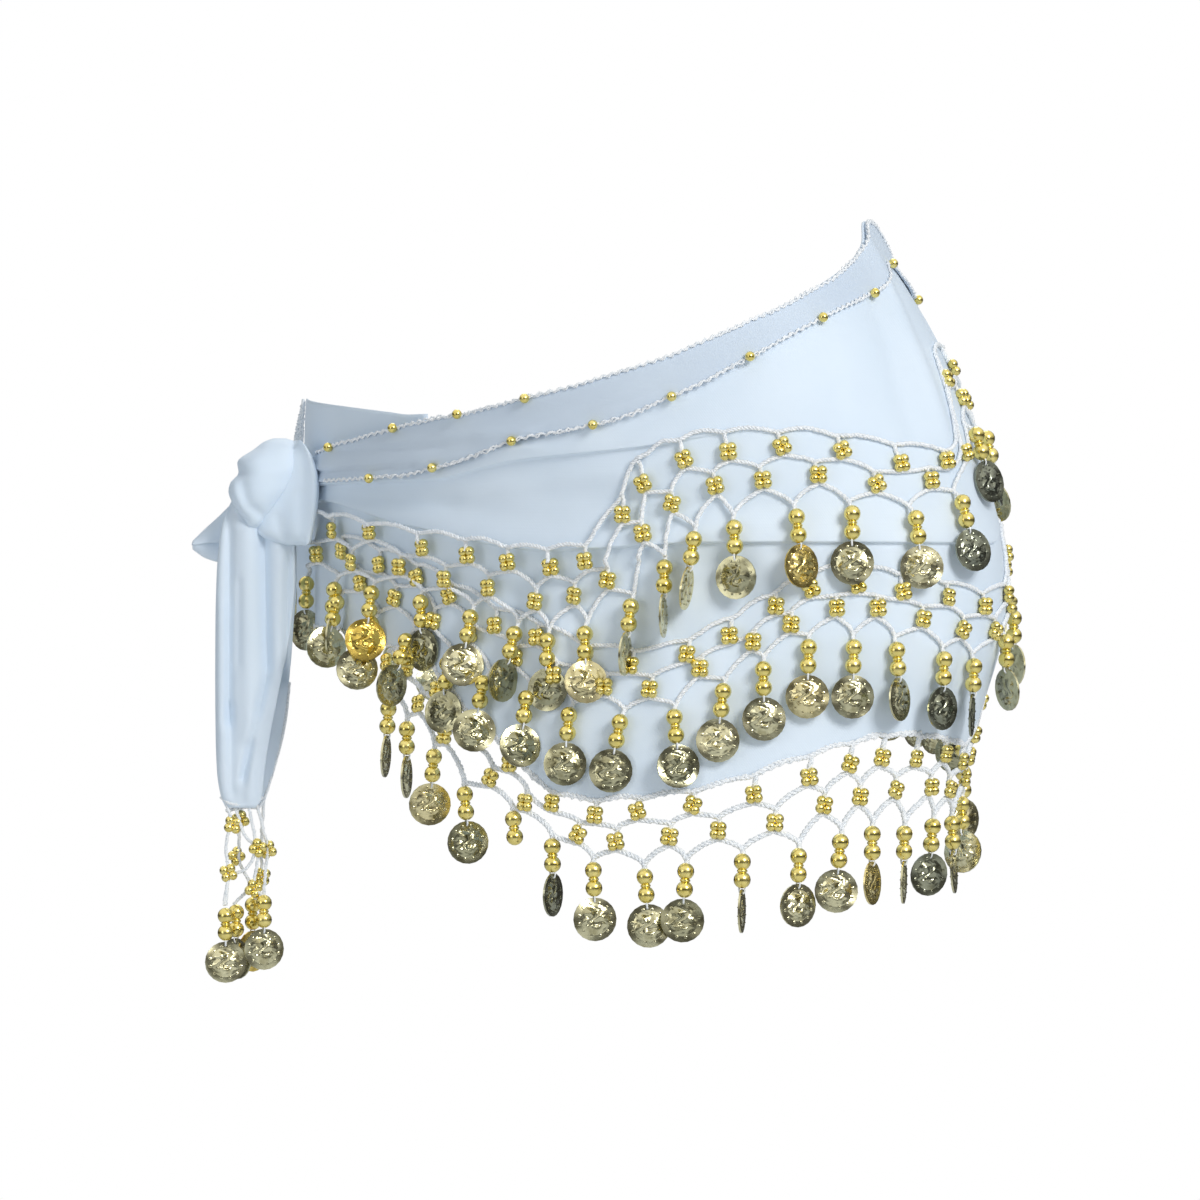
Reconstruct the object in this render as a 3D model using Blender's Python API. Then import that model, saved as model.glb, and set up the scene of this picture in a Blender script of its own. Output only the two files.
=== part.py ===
"""Belly dance hip scarf: a white wrap tied at the hip, with three tiers of coin net.

The scarf is hollow and keeps the shape that it has when it is worn on a general figure.
Metres, +Z up. The wearer faces -Y, and the wearer's left is +X. The origin is on the
axis of the hips, at their widest level. Angles go round the hips in degrees: 0 at the
front, 90 at the wearer's left, 180 at the back and 270 at the wearer's right.
"""

import math

import bmesh
import bpy
import numpy as np

MM = 0.001
GAP = 0.3 * MM  # between any two pieces
FULL_TURN = 360.0
KNOT_ANGLE = -50.0
COLUMN_STEP = 5.0  # degrees between two columns of a wall's points

# Walls, as distances out from the figure's hips.
UNDER_END_WALL = (0.0, 1.2 * MM)
WRAP_WALL = (1.5 * MM, 3.0 * MM)
BAND_WALL = (3.9 * MM, 5.1 * MM)
LOWER_NET_WALL = (3.9 * MM, 4.9 * MM)
UPPER_NET_WALL = (6.2 * MM, 7.2 * MM)
HEM_COINS_WALL = (-1.0 * MM, 4.2 * MM)
MIDDLE_COINS_WALL = (5.2 * MM, 9.4 * MM)
UPPER_COINS_WALL = (6.3 * MM, 10.8 * MM)
UPPER_COINS_LIFT = 3.9 * MM  # further out where they lie on the middle tier's coins

LIFT_STARTS = 16.0  # degrees from the knot, and the degrees over which it comes and goes
LIFT_RISES = 6.0
LIFT_ENDS = 150.0
LIFT_FADES = 22.0
DANGLE = 33 * MM  # two beads and a coin, from the net down
COINS_TOP = 45 * MM
NET_SPAN = 14 * MM

# The general figure's hips: an ellipse at each height (all in mm).
HIP_COLUMNS = ("height", "half_width", "half_depth", "centre_y")
HIPS = (
    (-160, 160, 118, -18),
    (-70, 168, 122, -12),
    (0, 180, 125, 0),
    (45, 176, 123.5, -5),
    (90, 165, 119, -15),
    (170, 128, 98, -29),
    (200, 120, 92, -31),
)
# Behind its middle the figure is flatter: this share of the half depth.
BACK_SHARE = 0.835

# The wrap's upper edge, and the lower edge of the band that lies on it.
RIM_COLUMNS = ("angle", "rim", "band")
RIM = (
    (-50, 60, 50),
    (-30, 64, 51),
    (-9, 72, 52),
    (5, 77, 57),
    (18, 83, 67),
    (31, 91, 73),
    (43, 100, 84),
    (57, 113, 100),
    (75, 129, 118),
    (95, 148, 132),
    (106, 160, 142),
    (118, 152, 134),
    (135, 136, 118),
    (160, 114, 97),
    (180, 101, 84),
    (210, 85, 68),
    (240, 73, 57),
    (270, 64, 50),
    (290, 60, 48),
)

BAND_STARTS = -24.0
BAND_ENDS = 300.0

# The wrap's lower edge.
HEM_COLUMNS = ("angle", "hem")
HEM = (
    (-50, -6),
    (-25, -13),
    (-2, -25),
    (8, -49),
    (15, -61),
    (21, -75),
    (28, -82),
    (36, -81),
    (47, -77),
    (66, -62),
    (80, -55),
    (93, -57),
    (105, -60),
    (120, -45),
    (135, -18),
    (150, 0),
    (180, 5),
    (210, -8),
    (240, 6),
    (262, 18),
    (290, 0),
)

# Each tier of net: its upper cord, and the level where its coins start to hang.
TIER_COLUMNS = ("angle", "top", "foot")
UPPER_TIER = (
    (-25, 38, 9),
    (-21, 37, 7),
    (-6, 31, 4),
    (8, 26, -4),
    (18, 22, -14),
    (25, 23, -11),
    (29, 34, -4),
    (34, 56, 9),
    (40, 65, 26),
    (50, 70, 34),
    (61, 70, 39),
    (75, 66, 38),
    (92, 63, 44),
    (99, 76, 56),
    (105, 106, 72),
    (120, 108, 72),
    (140, 92, 57),
    (180, 70, 38),
    (210, 58, 24),
    (240, 48, 15),
    (270, 42, 15),
    (302, 42, 27),
)
MIDDLE_TIER = (
    (-27, 32, 6),
    (-6, 18, -14),
    (3, 8, -23),
    (11, -3, -32),
    (19, -10, -38),
    (27, -19, -46),
    (35, -20, -47),
    (43, -12, -40),
    (50, -1, -29),
    (63, 14, -15),
    (80, 10, -19),
    (95, 4, -25),
    (108, 8, -15),
    (122, 30, -2),
    (140, 44, 14),
    (180, 34, 3),
    (210, 22, -11),
    (240, 24, -6),
    (281, 24, -2),
)
HEM_TIER_COLUMNS = ("angle", "foot")  # its upper cord is the wrap's hem
HEM_TIER = (
    (-14, -37),
    (0, -59),
    (8, -78),
    (16, -87),
    (24, -101),
    (31, -108),
    (38, -110),
    (57, -104),
    (75, -95),
    (90, -92),
    (103, -91),
    (120, -78),
    (135, -52),
    (150, -34),
    (180, -27),
    (210, -40),
    (240, -24),
    (262, -8),
)

KNOT_BEARING = 45.0  # degrees round from the front to the wearer's right

# The knot's two lobes, slice by slice in mm. Columns: height, then the inner and the outer
# side of the slice along the knot's bearing, then its middle and half width across it.
OVER_LOBE = (
    (70.4, 161, 165, 8, 4),
    (66, 155.5, 174, 8, 11),
    (60, 155.5, 181.5, 8, 15),
    (54, 157, 183, 9, 17),
    (48, 160, 184.5, 9, 17),
    (42, 163, 182.5, 10, 16),
    (36, 167.5, 178.5, 12, 12),
    (31, 174, 177, 14, 4),
)
SIDE_LOBE = (
    (69, 154, 155, 22, 2),
    (65, 150.5, 154.5, 24, 4),
    (60, 147.5, 154.5, 26, 5.5),
    (54, 146, 156.5, 27, 7),
    (48, 145.6, 159, 27, 7.5),
    (42, 145.6, 161.8, 27, 8),
    (36, 146.5, 166, 27, 8.5),
    (30, 147.2, 172.5, 27, 8.5),
    (26, 148, 168, 26, 7),
    (23.8, 149, 162, 25, 4),
)
KNOT_SIDES = 20

# The hanging end is a doubled fall of cloth. Columns, in mm: height, then places along the
# knot's bearing: its outer fold, the inner edge of its front layer and of its back layer.
FALL = (
    (22.5, 184, 160, 162),
    (10, 189, 156.5, 161),
    (-10, 190.5, 158, 160.5),
    (-35, 190.5, 161, 158),
    (-60, 190.5, 166, 162),
    (-75, 189.5, 169, 169),
    (-87, 187, 173, 171),
)
FALL_NET = (
    (-87.5, 187, 170, 169),
    (-110, 188, 167, 166),
    (-134, 188, 166, 164),
)
FALL_SIDE = 18.5 * MM  # the fall's middle, across the knot's bearing
FALL_DEPTH = 9 * MM  # from its front layer to its back layer
FALL_WALL = 2 * MM
FALL_COINS = {"outer": 195 * MM, "inner": 159 * MM, "top": -134.5 * MM, "foot": -168 * MM}
FALL_COINS_HALF_SIDE = 8 * MM

# The short pointed end. Columns, in mm: place along the knot's bearing, then the heights of
# its upper edge, its fold and its lower edge.
SHORT_END = (
    (185.2, 42, 26, 16.5),
    (190, 37, 25.5, 16.8),
    (196, 31.5, 25, 18.5),
    (201.5, 26.2, 24, 21.6),
)
SHORT_END_SIDE = 2 * MM
SHORT_END_BULGE = 5 * MM
SHORT_END_WALL = 1.6 * MM

UNDER_END_COLUMNS = ("angle", "upper", "lower")
UNDER_END = (
    (-57, 91, 48),
    (-30, 85.5, 46),
    (-1, 77.5, 50),
)

# Pleats that run into the knot. A pleat's lower edge overhangs the cloth below it.
PLEAT_COLUMNS = ("angle", "level", "depth")
UPPER_PLEAT = (
    (-50, 48, 2.4),
    (-30, 50.5, 2.4),
    (0, 51, 2.2),
    (15, 58, 1.6),
    (35, 63, 1.2),
    (55, 71, 0),
    (240, 52, 0),
    (285, 44, 2.4),
)
LOWER_PLEAT = (
    (-50, 44, 1.4),
    (-30, 43.7, 2.8),
    (-5, 32, 3),
    (20, 21, 3),
    (45, 24, 2.2),
    (100, 24, 1.6),
    (125, 36, 0),
    (240, 30, 0),
    (285, 38, 1.6),
)
PLEAT_RISE = 15 * MM  # how far above its edge a pleat starts to swell
PLEAT_LIP = 2 * MM  # how far below its edge it has died away

# Soft folds that run up and down. Columns: middle and half-spread in degrees, then lowest
# level, highest level and depth in mm.
SOFT_FOLDS = (
    (-44, 6, -30, 42, 2.2),
    (-31, 6, -30, 38, 2.4),
    (38, 7, -40, 18, 1.6),
    (93, 7, 60, 150, 2.2),
    (84, 6, -70, -20, 1.8),
    (150, 9, 0, 110, 1.8),
    (200, 9, -10, 80, 1.8),
    (287, 7, -10, 40, 2.2),
)
SOFT_END = 15 * MM  # a soft fold fades out over this height


def read(table, columns):
    """The table's columns by name."""
    return {name: np.array([row[i] for row in table], float) for i, name in enumerate(columns)}


def smooth(places, values, at):
    """A curve through the values that doesn't swing past any of them."""
    at = np.clip(at, places[0], places[-1])
    step = np.diff(places)
    slope = np.diff(values) / step
    tangent = np.zeros(len(values))
    tangent[0], tangent[-1] = slope[0], slope[-1]
    for i in range(1, len(values) - 1):
        before, after = slope[i - 1], slope[i]
        if before * after > 0:
            tangent[i] = 2 * before * after / (before + after)
    i = np.clip(np.searchsorted(places, at, side="right") - 1, 0, len(step) - 1)
    t = (at - places[i]) / step[i]
    rise = values[i + 1] - values[i]
    bend = t * (1 - t) * ((1 - t) * (tangent[i] * step[i] - rise) + t * (rise - tangent[i + 1] * step[i]))
    return values[i] + t * rise + bend


def around(table, columns, name, angle):
    """A column's value at an angle, on a table that closes round the hips (metres)."""
    rows = read(table, columns)
    angles = np.concatenate([rows["angle"][-2:] - FULL_TURN, rows["angle"], rows["angle"][:2] + FULL_TURN])
    values = np.concatenate([rows[name][-2:], rows[name], rows[name][:2]])
    first = rows["angle"][0]
    return smooth(angles, values, (angle - first) % FULL_TURN + first) * MM


def along(table, columns, name, angle):
    """A column's value at an angle, on a table that has two ends (metres)."""
    rows = read(table, columns)
    return smooth(rows["angle"], rows[name], angle) * MM


def on_hips(angle, height, out):
    """A point that far out from the figure's hips."""
    rows = read(HIPS, HIP_COLUMNS)
    wide, deep, centre = (
        smooth(rows["height"], rows[name], height / MM) * MM
        for name in ("half_width", "half_depth", "centre_y")
    )
    turn = math.radians(angle)
    if math.cos(turn) < 0:
        deep *= BACK_SHARE
    normal_x, normal_y = math.sin(turn) / wide, -math.cos(turn) / deep
    length = math.hypot(normal_x, normal_y)
    return (
        wide * math.sin(turn) + out * normal_x / length,
        centre - deep * math.cos(turn) + out * normal_y / length,
        height,
    )


def ease(share):
    """A soft step from 0 to 1."""
    share = min(max(share, 0.0), 1.0)
    return share * share * (3 - 2 * share)


def pleat(table, angle, height):
    level = around(table, PLEAT_COLUMNS, "level", angle)
    depth = around(table, PLEAT_COLUMNS, "depth", angle)
    if height >= level:
        return depth * ease(1 - (height - level) / PLEAT_RISE)
    return depth * ease(1 - (level - height) / PLEAT_LIP)


def soft_fold(row, angle, height):
    middle, spread, low, high, depth = row
    off = abs((angle - middle + FULL_TURN / 2) % FULL_TURN - FULL_TURN / 2) / spread
    if off >= 1:
        return 0.0
    ends = ease((height - low * MM) / SOFT_END) * ease((high * MM - height) / SOFT_END)
    return depth * MM * ends * 0.5 * (1 + math.cos(math.pi * off))


def relief(angle, height):
    """How far the pleats and folds lift the wrap from the hips."""
    folds = sum(soft_fold(row, angle, height) for row in SOFT_FOLDS)
    return folds + pleat(UPPER_PLEAT, angle, height) + pleat(LOWER_PLEAT, angle, height)


def relief_near(angle, height):
    """What a net lies on: it spans from fold to fold."""
    return max(relief(angle, height + shift) for shift in np.linspace(-NET_SPAN, NET_SPAN, 9))


def fullest_relief(angle):
    """What the coins hang clear of: the wrap's deepest fold below its upper pleat."""
    hem = around(HEM, HEM_COLUMNS, "hem", angle)
    return max(relief(angle, z) for z in np.linspace(hem, COINS_TOP, 17))


def material(name, colour, roughness, metallic=0.0):
    made = bpy.data.materials.new(name)
    made.use_nodes = True
    shader = made.node_tree.nodes["Principled BSDF"]
    shader.inputs["Base Color"].default_value = (*colour, 1.0)
    shader.inputs["Roughness"].default_value = roughness
    shader.inputs["Metallic"].default_value = metallic
    return made


def add_object(name, mesh, finish):
    made = bpy.data.objects.new(name, mesh)
    bpy.context.collection.objects.link(made)
    mesh.materials.append(finish)
    mesh.shade_smooth()
    mesh.set_sharp_from_angle(angle=math.radians(40))
    return made


def shell(name, inner, outer, closed, finish):
    """A closed wall between two grids of points. Columns go round, rows go from foot to head."""
    mesh = bmesh.new()
    skins = [[[mesh.verts.new(point) for point in column] for column in grid] for grid in (inner, outer)]
    columns, rows = len(inner), len(inner[0])
    for c in range(columns if closed else columns - 1):
        after = (c + 1) % columns
        for r in range(rows - 1):
            for skin in skins:
                mesh.faces.new((skin[c][r], skin[after][r], skin[after][r + 1], skin[c][r + 1]))
        for r in (0, rows - 1):
            mesh.faces.new((skins[0][c][r], skins[0][after][r], skins[1][after][r], skins[1][c][r]))
    for c in () if closed else (0, columns - 1):
        for r in range(rows - 1):
            mesh.faces.new((skins[0][c][r], skins[0][c][r + 1], skins[1][c][r + 1], skins[1][c][r]))
    bmesh.ops.recalc_face_normals(mesh, faces=mesh.faces)
    data = bpy.data.meshes.new(name)
    mesh.to_mesh(data)
    mesh.free()
    return add_object(name, data, finish)


def columns_between(first, last):
    """Angles that all walls share, so that no two facets cross."""
    start = math.ceil((first - KNOT_ANGLE) / COLUMN_STEP)
    stop = math.floor((last - KNOT_ANGLE) / COLUMN_STEP)
    return [KNOT_ANGLE + i * COLUMN_STEP for i in range(start, stop + 1)]


def hip_wall(name, angles, levels_at, wall_at, closed, finish, over=relief):
    """A wall round the hips: levels_at(angle) gives its rows' heights, wall_at its two faces.

    over(angle, height) is how far the folds behind it push it out."""
    grids = ([], [])
    for angle in angles:
        levels = levels_at(angle)
        lifts = [over(angle, z) for z in levels]
        for grid, out in zip(grids, wall_at(angle)):
            grid.append([on_hips(angle, z, out + lift) for z, lift in zip(levels, lifts)])
    return shell(name, grids[0], grids[1], closed, finish)


def wrap_levels(angle):
    """The wrap's rows follow its pleats, so that each pleat keeps its edge."""
    hem = around(HEM, HEM_COLUMNS, "hem", angle)
    rim = around(RIM, RIM_COLUMNS, "rim", angle)
    lower = around(LOWER_PLEAT, PLEAT_COLUMNS, "level", angle)
    upper = around(UPPER_PLEAT, PLEAT_COLUMNS, "level", angle)
    return [
        hem,
        hem + 0.3 * (lower - hem),
        hem + 0.65 * (lower - hem),
        lower - PLEAT_LIP,
        lower,
        0.5 * (lower + upper - PLEAT_LIP),
        upper - PLEAT_LIP,
        upper,
        upper + 0.3 * (rim - upper),
        upper + 0.65 * (rim - upper),
        rim,
    ]


def make_wrap(cloth):
    angles = columns_between(KNOT_ANGLE, KNOT_ANGLE + FULL_TURN - COLUMN_STEP)
    hip_wall("hip_wrap", angles, wrap_levels, lambda angle: WRAP_WALL, True, cloth)


def band_levels(angle):
    rim = around(RIM, RIM_COLUMNS, "rim", angle)
    low = around(RIM, RIM_COLUMNS, "band", angle)
    return [low, 0.5 * (low + rim), rim]


def make_band(cloth):
    angles = columns_between(BAND_STARTS, BAND_ENDS)
    hip_wall("top_band", angles, band_levels, lambda angle: BAND_WALL, False, cloth, relief_near)


def make_under_end(cloth):
    def levels(angle):
        low = along(UNDER_END, UNDER_END_COLUMNS, "lower", angle)
        high = along(UNDER_END, UNDER_END_COLUMNS, "upper", angle)
        return [low, 0.5 * (low + high), high]

    angles = columns_between(UNDER_END[0][0], UNDER_END[-1][0])
    grids = [[[on_hips(a, z, out) for z in levels(a)] for a in angles] for out in UNDER_END_WALL]
    shell("under_end", grids[0], grids[1], False, cloth)


def tier_top(table, angle):
    if table is HEM_TIER:
        return around(HEM, HEM_COLUMNS, "hem", angle)
    return along(table, TIER_COLUMNS, "top", angle)


def tier_foot(table, angle):
    columns = HEM_TIER_COLUMNS if table is HEM_TIER else TIER_COLUMNS
    return along(table, columns, "foot", angle)


def make_tier(name, table, net_wall, coins_wall, lift, net, coins):
    """A tier's net, and the plain reach of the coins that hang from it."""
    angles = columns_between(table[0][0], table[-1][0])

    def net_levels(angle):
        top = tier_top(table, angle) - GAP
        foot = tier_foot(table, angle)
        return [foot + share * (top - foot) for share in (0, 0.33, 0.67, 1)]

    def coin_levels(angle):
        foot = tier_foot(table, angle) - GAP
        return [foot - DANGLE, foot - 0.5 * DANGLE, foot]

    def over_folds(angle, height):
        return 0.0 if table is HEM_TIER else fullest_relief(angle)

    def coin_wall(angle):
        off_knot = min((angle - KNOT_ANGLE) % FULL_TURN, (KNOT_ANGLE - angle) % FULL_TURN)
        more = lift * ease((LIFT_ENDS - off_knot) / LIFT_FADES)
        more *= ease((off_knot - LIFT_STARTS) / LIFT_RISES)
        return coins_wall[0] + more, coins_wall[1] + more

    over = relief if table is HEM_TIER else relief_near
    hip_wall("net_" + name, angles, net_levels, lambda angle: net_wall, False, net, over)
    hip_wall("coins_" + name, angles, coin_levels, coin_wall, False, coins, over_folds)


def by_knot(out, side, height):
    """A point outward along the knot's bearing, to its side towards the wearer's left, and up."""
    turn = math.radians(KNOT_BEARING)
    return (
        -out * math.sin(turn) + side * math.cos(turn),
        -out * math.cos(turn) - side * math.sin(turn),
        height,
    )


def make_lobe(name, table, cloth):
    """A lobe of the knot: its folded layers as one rounded solid, lofted through its slices."""
    mesh = bmesh.new()
    rings = []
    for height, inner, outer, side, half_side in sorted(table):
        ring = []
        for i in range(KNOT_SIDES):
            turn = 2 * math.pi * i / KNOT_SIDES
            out = 0.5 * (inner + outer) + 0.5 * (outer - inner) * math.cos(turn)
            place = by_knot(out * MM, (side + half_side * math.sin(turn)) * MM, height * MM)
            ring.append(mesh.verts.new(place))
        rings.append(ring)
    for low, high in zip(rings, rings[1:]):
        for i in range(KNOT_SIDES):
            after = (i + 1) % KNOT_SIDES
            mesh.faces.new((low[i], low[after], high[after], high[i]))
    mesh.faces.new(rings[0])
    mesh.faces.new(rings[-1])
    bmesh.ops.recalc_face_normals(mesh, faces=mesh.faces)
    data = bpy.data.meshes.new(name)
    mesh.to_mesh(data)
    mesh.free()
    add_object(name, data, cloth)


def ribbon(name, sections, wall, finish):
    """A wall of even thickness along rows of points (out, side, height), one row a section."""
    grids = ([], [])
    for section in sections:
        line = np.array([point[:2] for point in section])
        run = np.gradient(line, axis=0)
        run /= np.linalg.norm(run, axis=1)[:, None]
        normal = np.stack([-run[:, 1], run[:, 0]], axis=1)
        for grid, sign in zip(grids, (-0.5, 0.5)):
            moved = line + sign * wall * normal
            grid.append([by_knot(*place, point[2]) for place, point in zip(moved, section)])
    shell(name, grids[0], grids[1], False, finish)


def fall_section(height, outer_fold, front_edge, back_edge):
    """The doubled fall seen from above: front layer, outer fold, back layer."""
    half = 0.5 * FALL_DEPTH
    turns = np.radians(np.linspace(90, 270, 7))
    fold = outer_fold * MM - half
    front = [(front_edge * MM + share * (fold - front_edge * MM), half) for share in (0, 0.35, 0.7)]
    round_fold = [(fold - half * math.cos(turn), half * math.sin(turn)) for turn in turns]
    back = [(back_edge * MM + share * (fold - back_edge * MM), -half) for share in (0.7, 0.35, 0)]
    sway = (0, 1.2 * MM, -0.8 * MM) + (0,) * len(turns) + (0.8 * MM, -1.2 * MM, 0)
    points = front + round_fold + back
    return [(out, FALL_SIDE + side + move, height * MM) for (out, side), move in zip(points, sway)]


def make_hanging_end(cloth, net, coins):
    ribbon("hanging_end", [fall_section(*row) for row in FALL], FALL_WALL, cloth)
    ribbon("net_hanging_end", [fall_section(*row) for row in FALL_NET], FALL_WALL, net)
    mesh = bmesh.new()
    for side in (-1, 1):
        for out in ("inner", "outer"):
            for level in ("foot", "top"):
                place = (FALL_COINS[out], FALL_SIDE + side * FALL_COINS_HALF_SIDE, FALL_COINS[level])
                mesh.verts.new(by_knot(*place))
    bmesh.ops.convex_hull(mesh, input=mesh.verts)
    data = bpy.data.meshes.new("coins_hanging_end")
    mesh.to_mesh(data)
    mesh.free()
    add_object("coins_hanging_end", data, coins)


def make_short_end(cloth):
    """The pointed end is folded along its middle, and the fold faces the wearer's left."""
    grids = ([], [])
    for out, upper, fold, lower in SHORT_END:
        line = [(0.0, upper), (0.55, 0.45 * upper + 0.55 * fold), (1.0, fold), (0.0, lower)]
        for grid, sign in zip(grids, (-0.5, 0.5)):
            side = SHORT_END_SIDE + sign * SHORT_END_WALL
            grid.append([by_knot(out * MM, side + s * SHORT_END_BULGE, z * MM) for s, z in line])
    shell("short_end", grids[0], grids[1], False, cloth)


def main():
    for old in list(bpy.data.objects):
        bpy.data.objects.remove(old, do_unlink=True)
    cloth = material("white chiffon", (0.72, 0.78, 0.86), 0.6)
    net = material("silver-white crochet yarn", (0.86, 0.87, 0.88), 0.5)
    coins = material("pale gold coins and beads", (0.72, 0.55, 0.18), 0.28, 1.0)
    make_wrap(cloth)
    make_band(cloth)
    make_under_end(cloth)
    make_tier("upper", UPPER_TIER, UPPER_NET_WALL, UPPER_COINS_WALL, UPPER_COINS_LIFT, net, coins)
    make_tier("middle", MIDDLE_TIER, LOWER_NET_WALL, MIDDLE_COINS_WALL, 0.0, net, coins)
    make_tier("hem", HEM_TIER, WRAP_WALL, HEM_COINS_WALL, 0.0, net, coins)
    make_lobe("knot_over", OVER_LOBE, cloth)
    make_lobe("knot_side", SIDE_LOBE, cloth)
    make_hanging_end(cloth, net, coins)
    make_short_end(cloth)


main()
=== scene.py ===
# %% [markdown]
# # A belly dance hip scarf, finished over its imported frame
#
# The real scarf is a long piece of white chiffon. It is wound round the hips, tied at the
# wearer's right, and hung with three tiers of crochet net that end in gold beads and coins.
# The frame holds every piece's true size and place as plain solids. This script lays the
# fine cloth, the yarn, the beads and the coins over them, and changes none of those sizes.

# %% Load the frame
import math

import bmesh
import bpy
import numpy as np
from mathutils import Matrix, Vector


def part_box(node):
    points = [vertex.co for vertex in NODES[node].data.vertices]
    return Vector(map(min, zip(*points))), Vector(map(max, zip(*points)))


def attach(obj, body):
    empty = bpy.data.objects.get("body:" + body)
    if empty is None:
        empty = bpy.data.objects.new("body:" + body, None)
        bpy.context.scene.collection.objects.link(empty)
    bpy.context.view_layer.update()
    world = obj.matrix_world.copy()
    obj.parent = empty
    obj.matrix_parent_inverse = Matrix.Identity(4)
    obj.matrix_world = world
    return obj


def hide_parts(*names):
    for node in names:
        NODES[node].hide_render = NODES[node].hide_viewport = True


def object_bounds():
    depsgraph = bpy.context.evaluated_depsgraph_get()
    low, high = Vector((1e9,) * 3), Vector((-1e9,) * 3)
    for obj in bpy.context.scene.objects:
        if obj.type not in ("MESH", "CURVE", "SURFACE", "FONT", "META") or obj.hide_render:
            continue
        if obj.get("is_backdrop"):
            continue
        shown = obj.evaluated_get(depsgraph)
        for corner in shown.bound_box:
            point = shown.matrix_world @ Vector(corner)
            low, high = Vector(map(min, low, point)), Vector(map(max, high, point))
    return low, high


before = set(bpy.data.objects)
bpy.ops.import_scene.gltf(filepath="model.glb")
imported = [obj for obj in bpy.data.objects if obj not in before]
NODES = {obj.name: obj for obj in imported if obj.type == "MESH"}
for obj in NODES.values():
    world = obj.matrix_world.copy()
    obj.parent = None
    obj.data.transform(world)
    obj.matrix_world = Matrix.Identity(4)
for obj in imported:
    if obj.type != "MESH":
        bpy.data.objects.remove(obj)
MM = 0.001
cad_low, cad_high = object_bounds()
print("frame:", len(NODES), "nodes,", [round(side / MM) for side in cad_high - cad_low], "mm")

# %% [markdown]
# ## The camera
#
# The scarf is seen from the wearer's front left, level with the hips and from far enough
# away that near and far coins look the same size. It aims a little to the knot's side of
# the hips' axis, because the knot and the hanging end reach further out than the other side.

# %% Place the camera
VIEW_BEARING = math.radians(45)
VIEW_DISTANCE = 2.3
FRAME_WIDTH = 0.528  # metres of the scene across the frame, at the scarf
VIEW_RIGHT = Vector((math.cos(VIEW_BEARING), math.sin(VIEW_BEARING), 0))
TO_VIEWER = Vector((math.sin(VIEW_BEARING), -math.cos(VIEW_BEARING), 0))
AIM_ASIDE = -0.023

aim = VIEW_RIGHT * AIM_ASIDE
camera = bpy.data.objects.new("camera", bpy.data.cameras.new("camera"))
bpy.context.scene.collection.objects.link(camera)
camera.location = aim + TO_VIEWER * VIEW_DISTANCE
camera.rotation_euler = (-TO_VIEWER).to_track_quat("-Z", "Y").to_euler()
camera.data.lens = camera.data.sensor_width * VIEW_DISTANCE / FRAME_WIDTH
bpy.context.scene.camera = camera
bpy.context.scene.view_settings.view_transform = "Standard"
print("camera aims at", [round(c / MM) for c in aim], "mm, lens", round(camera.data.lens), "mm")

# %% [markdown]
# ## The hips that the scarf is tied on
#
# Worn cloth takes the shape of what fills it. Here that is a general figure: an ellipse at
# each height, widest at the origin and flatter behind than in front. Every layer of the
# scarf is a distance out from it, so cloth, net and coins stay in order from the skin
# outwards. A place is an angle round the hips (0 at the front, 90 at the wearer's left), a
# height, and that distance out.

# %% Put any place on the hips
HIP_HEIGHTS = np.array([-160, -70, 0, 45, 90, 170, 200]) * MM
HALF_WIDTHS = np.array([160, 168, 180, 176, 165, 128, 120]) * MM
HALF_DEPTHS = np.array([118, 122, 125, 123.5, 119, 98, 92]) * MM
CENTRES_Y = np.array([-18, -12, 0, -5, -15, -29, -31]) * MM
BACK_SHARE = 0.835  # behind, the half depth is this share of the one in front


def smooth(places, values, at):
    """A curve through the values that doesn't swing past any of them."""
    places, values = np.asarray(places, float), np.asarray(values, float)
    at = np.clip(np.asarray(at, float), places[0], places[-1])
    step, slope = np.diff(places), np.diff(values) / np.diff(places)
    product = slope[:-1] * slope[1:]
    total = np.where(product > 0, slope[:-1] + slope[1:], 1)
    inner = np.where(product > 0, 2 * product / total, 0)
    tangent = np.concatenate([slope[:1], inner, slope[-1:]])
    i = np.clip(np.searchsorted(places, at, side="right") - 1, 0, len(step) - 1)
    t = (at - places[i]) / step[i]
    rise = values[i + 1] - values[i]
    start, stop = tangent[i] * step[i], tangent[i + 1] * step[i]
    return values[i] + t * rise + t * (1 - t) * ((1 - t) * (start - rise) + t * (rise - stop))


def hip_section(height, behind):
    """Half width, half depth and centre of the figure at a height, in front or behind."""
    rows = (HALF_WIDTHS, HALF_DEPTHS, CENTRES_Y)
    wide, deep, centre = (smooth(HIP_HEIGHTS, row, height) for row in rows)
    return wide, deep * np.where(behind, BACK_SHARE, 1.0), centre


def outward(angle, height):
    """The level direction away from the hips."""
    turn = np.radians(angle)
    wide, deep, _ = hip_section(height, np.cos(turn) < 0)
    away = np.stack([np.sin(turn) / wide, -np.cos(turn) / deep, 0 * turn * wide], axis=-1)
    return away / np.linalg.norm(away, axis=-1, keepdims=True)


def on_hips(angle, height, out):
    """Points that far out from the hips (arrays of angles, heights and distances)."""
    angle, height, out = np.broadcast_arrays(*(np.asarray(x, float) for x in (angle, height, out)))
    turn = np.radians(angle)
    wide, deep, centre = hip_section(height, np.cos(turn) < 0)
    skin = np.stack([wide * np.sin(turn), centre - deep * np.cos(turn), height], axis=-1)
    return skin + outward(angle, height) * out[..., None]


print("hips:", round(2 * max(HALF_WIDTHS) / MM), "mm wide,", round(2 * max(HALF_DEPTHS) / MM), "mm deep")

# %% [markdown]
# ## Edges, read from the frame
#
# Where each piece starts and ends comes from its solid. The solids' points stand in
# columns, one every few degrees from the knot, so each column's lowest and highest point
# give two curves round the hips: a piece's foot and its head.

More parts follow.
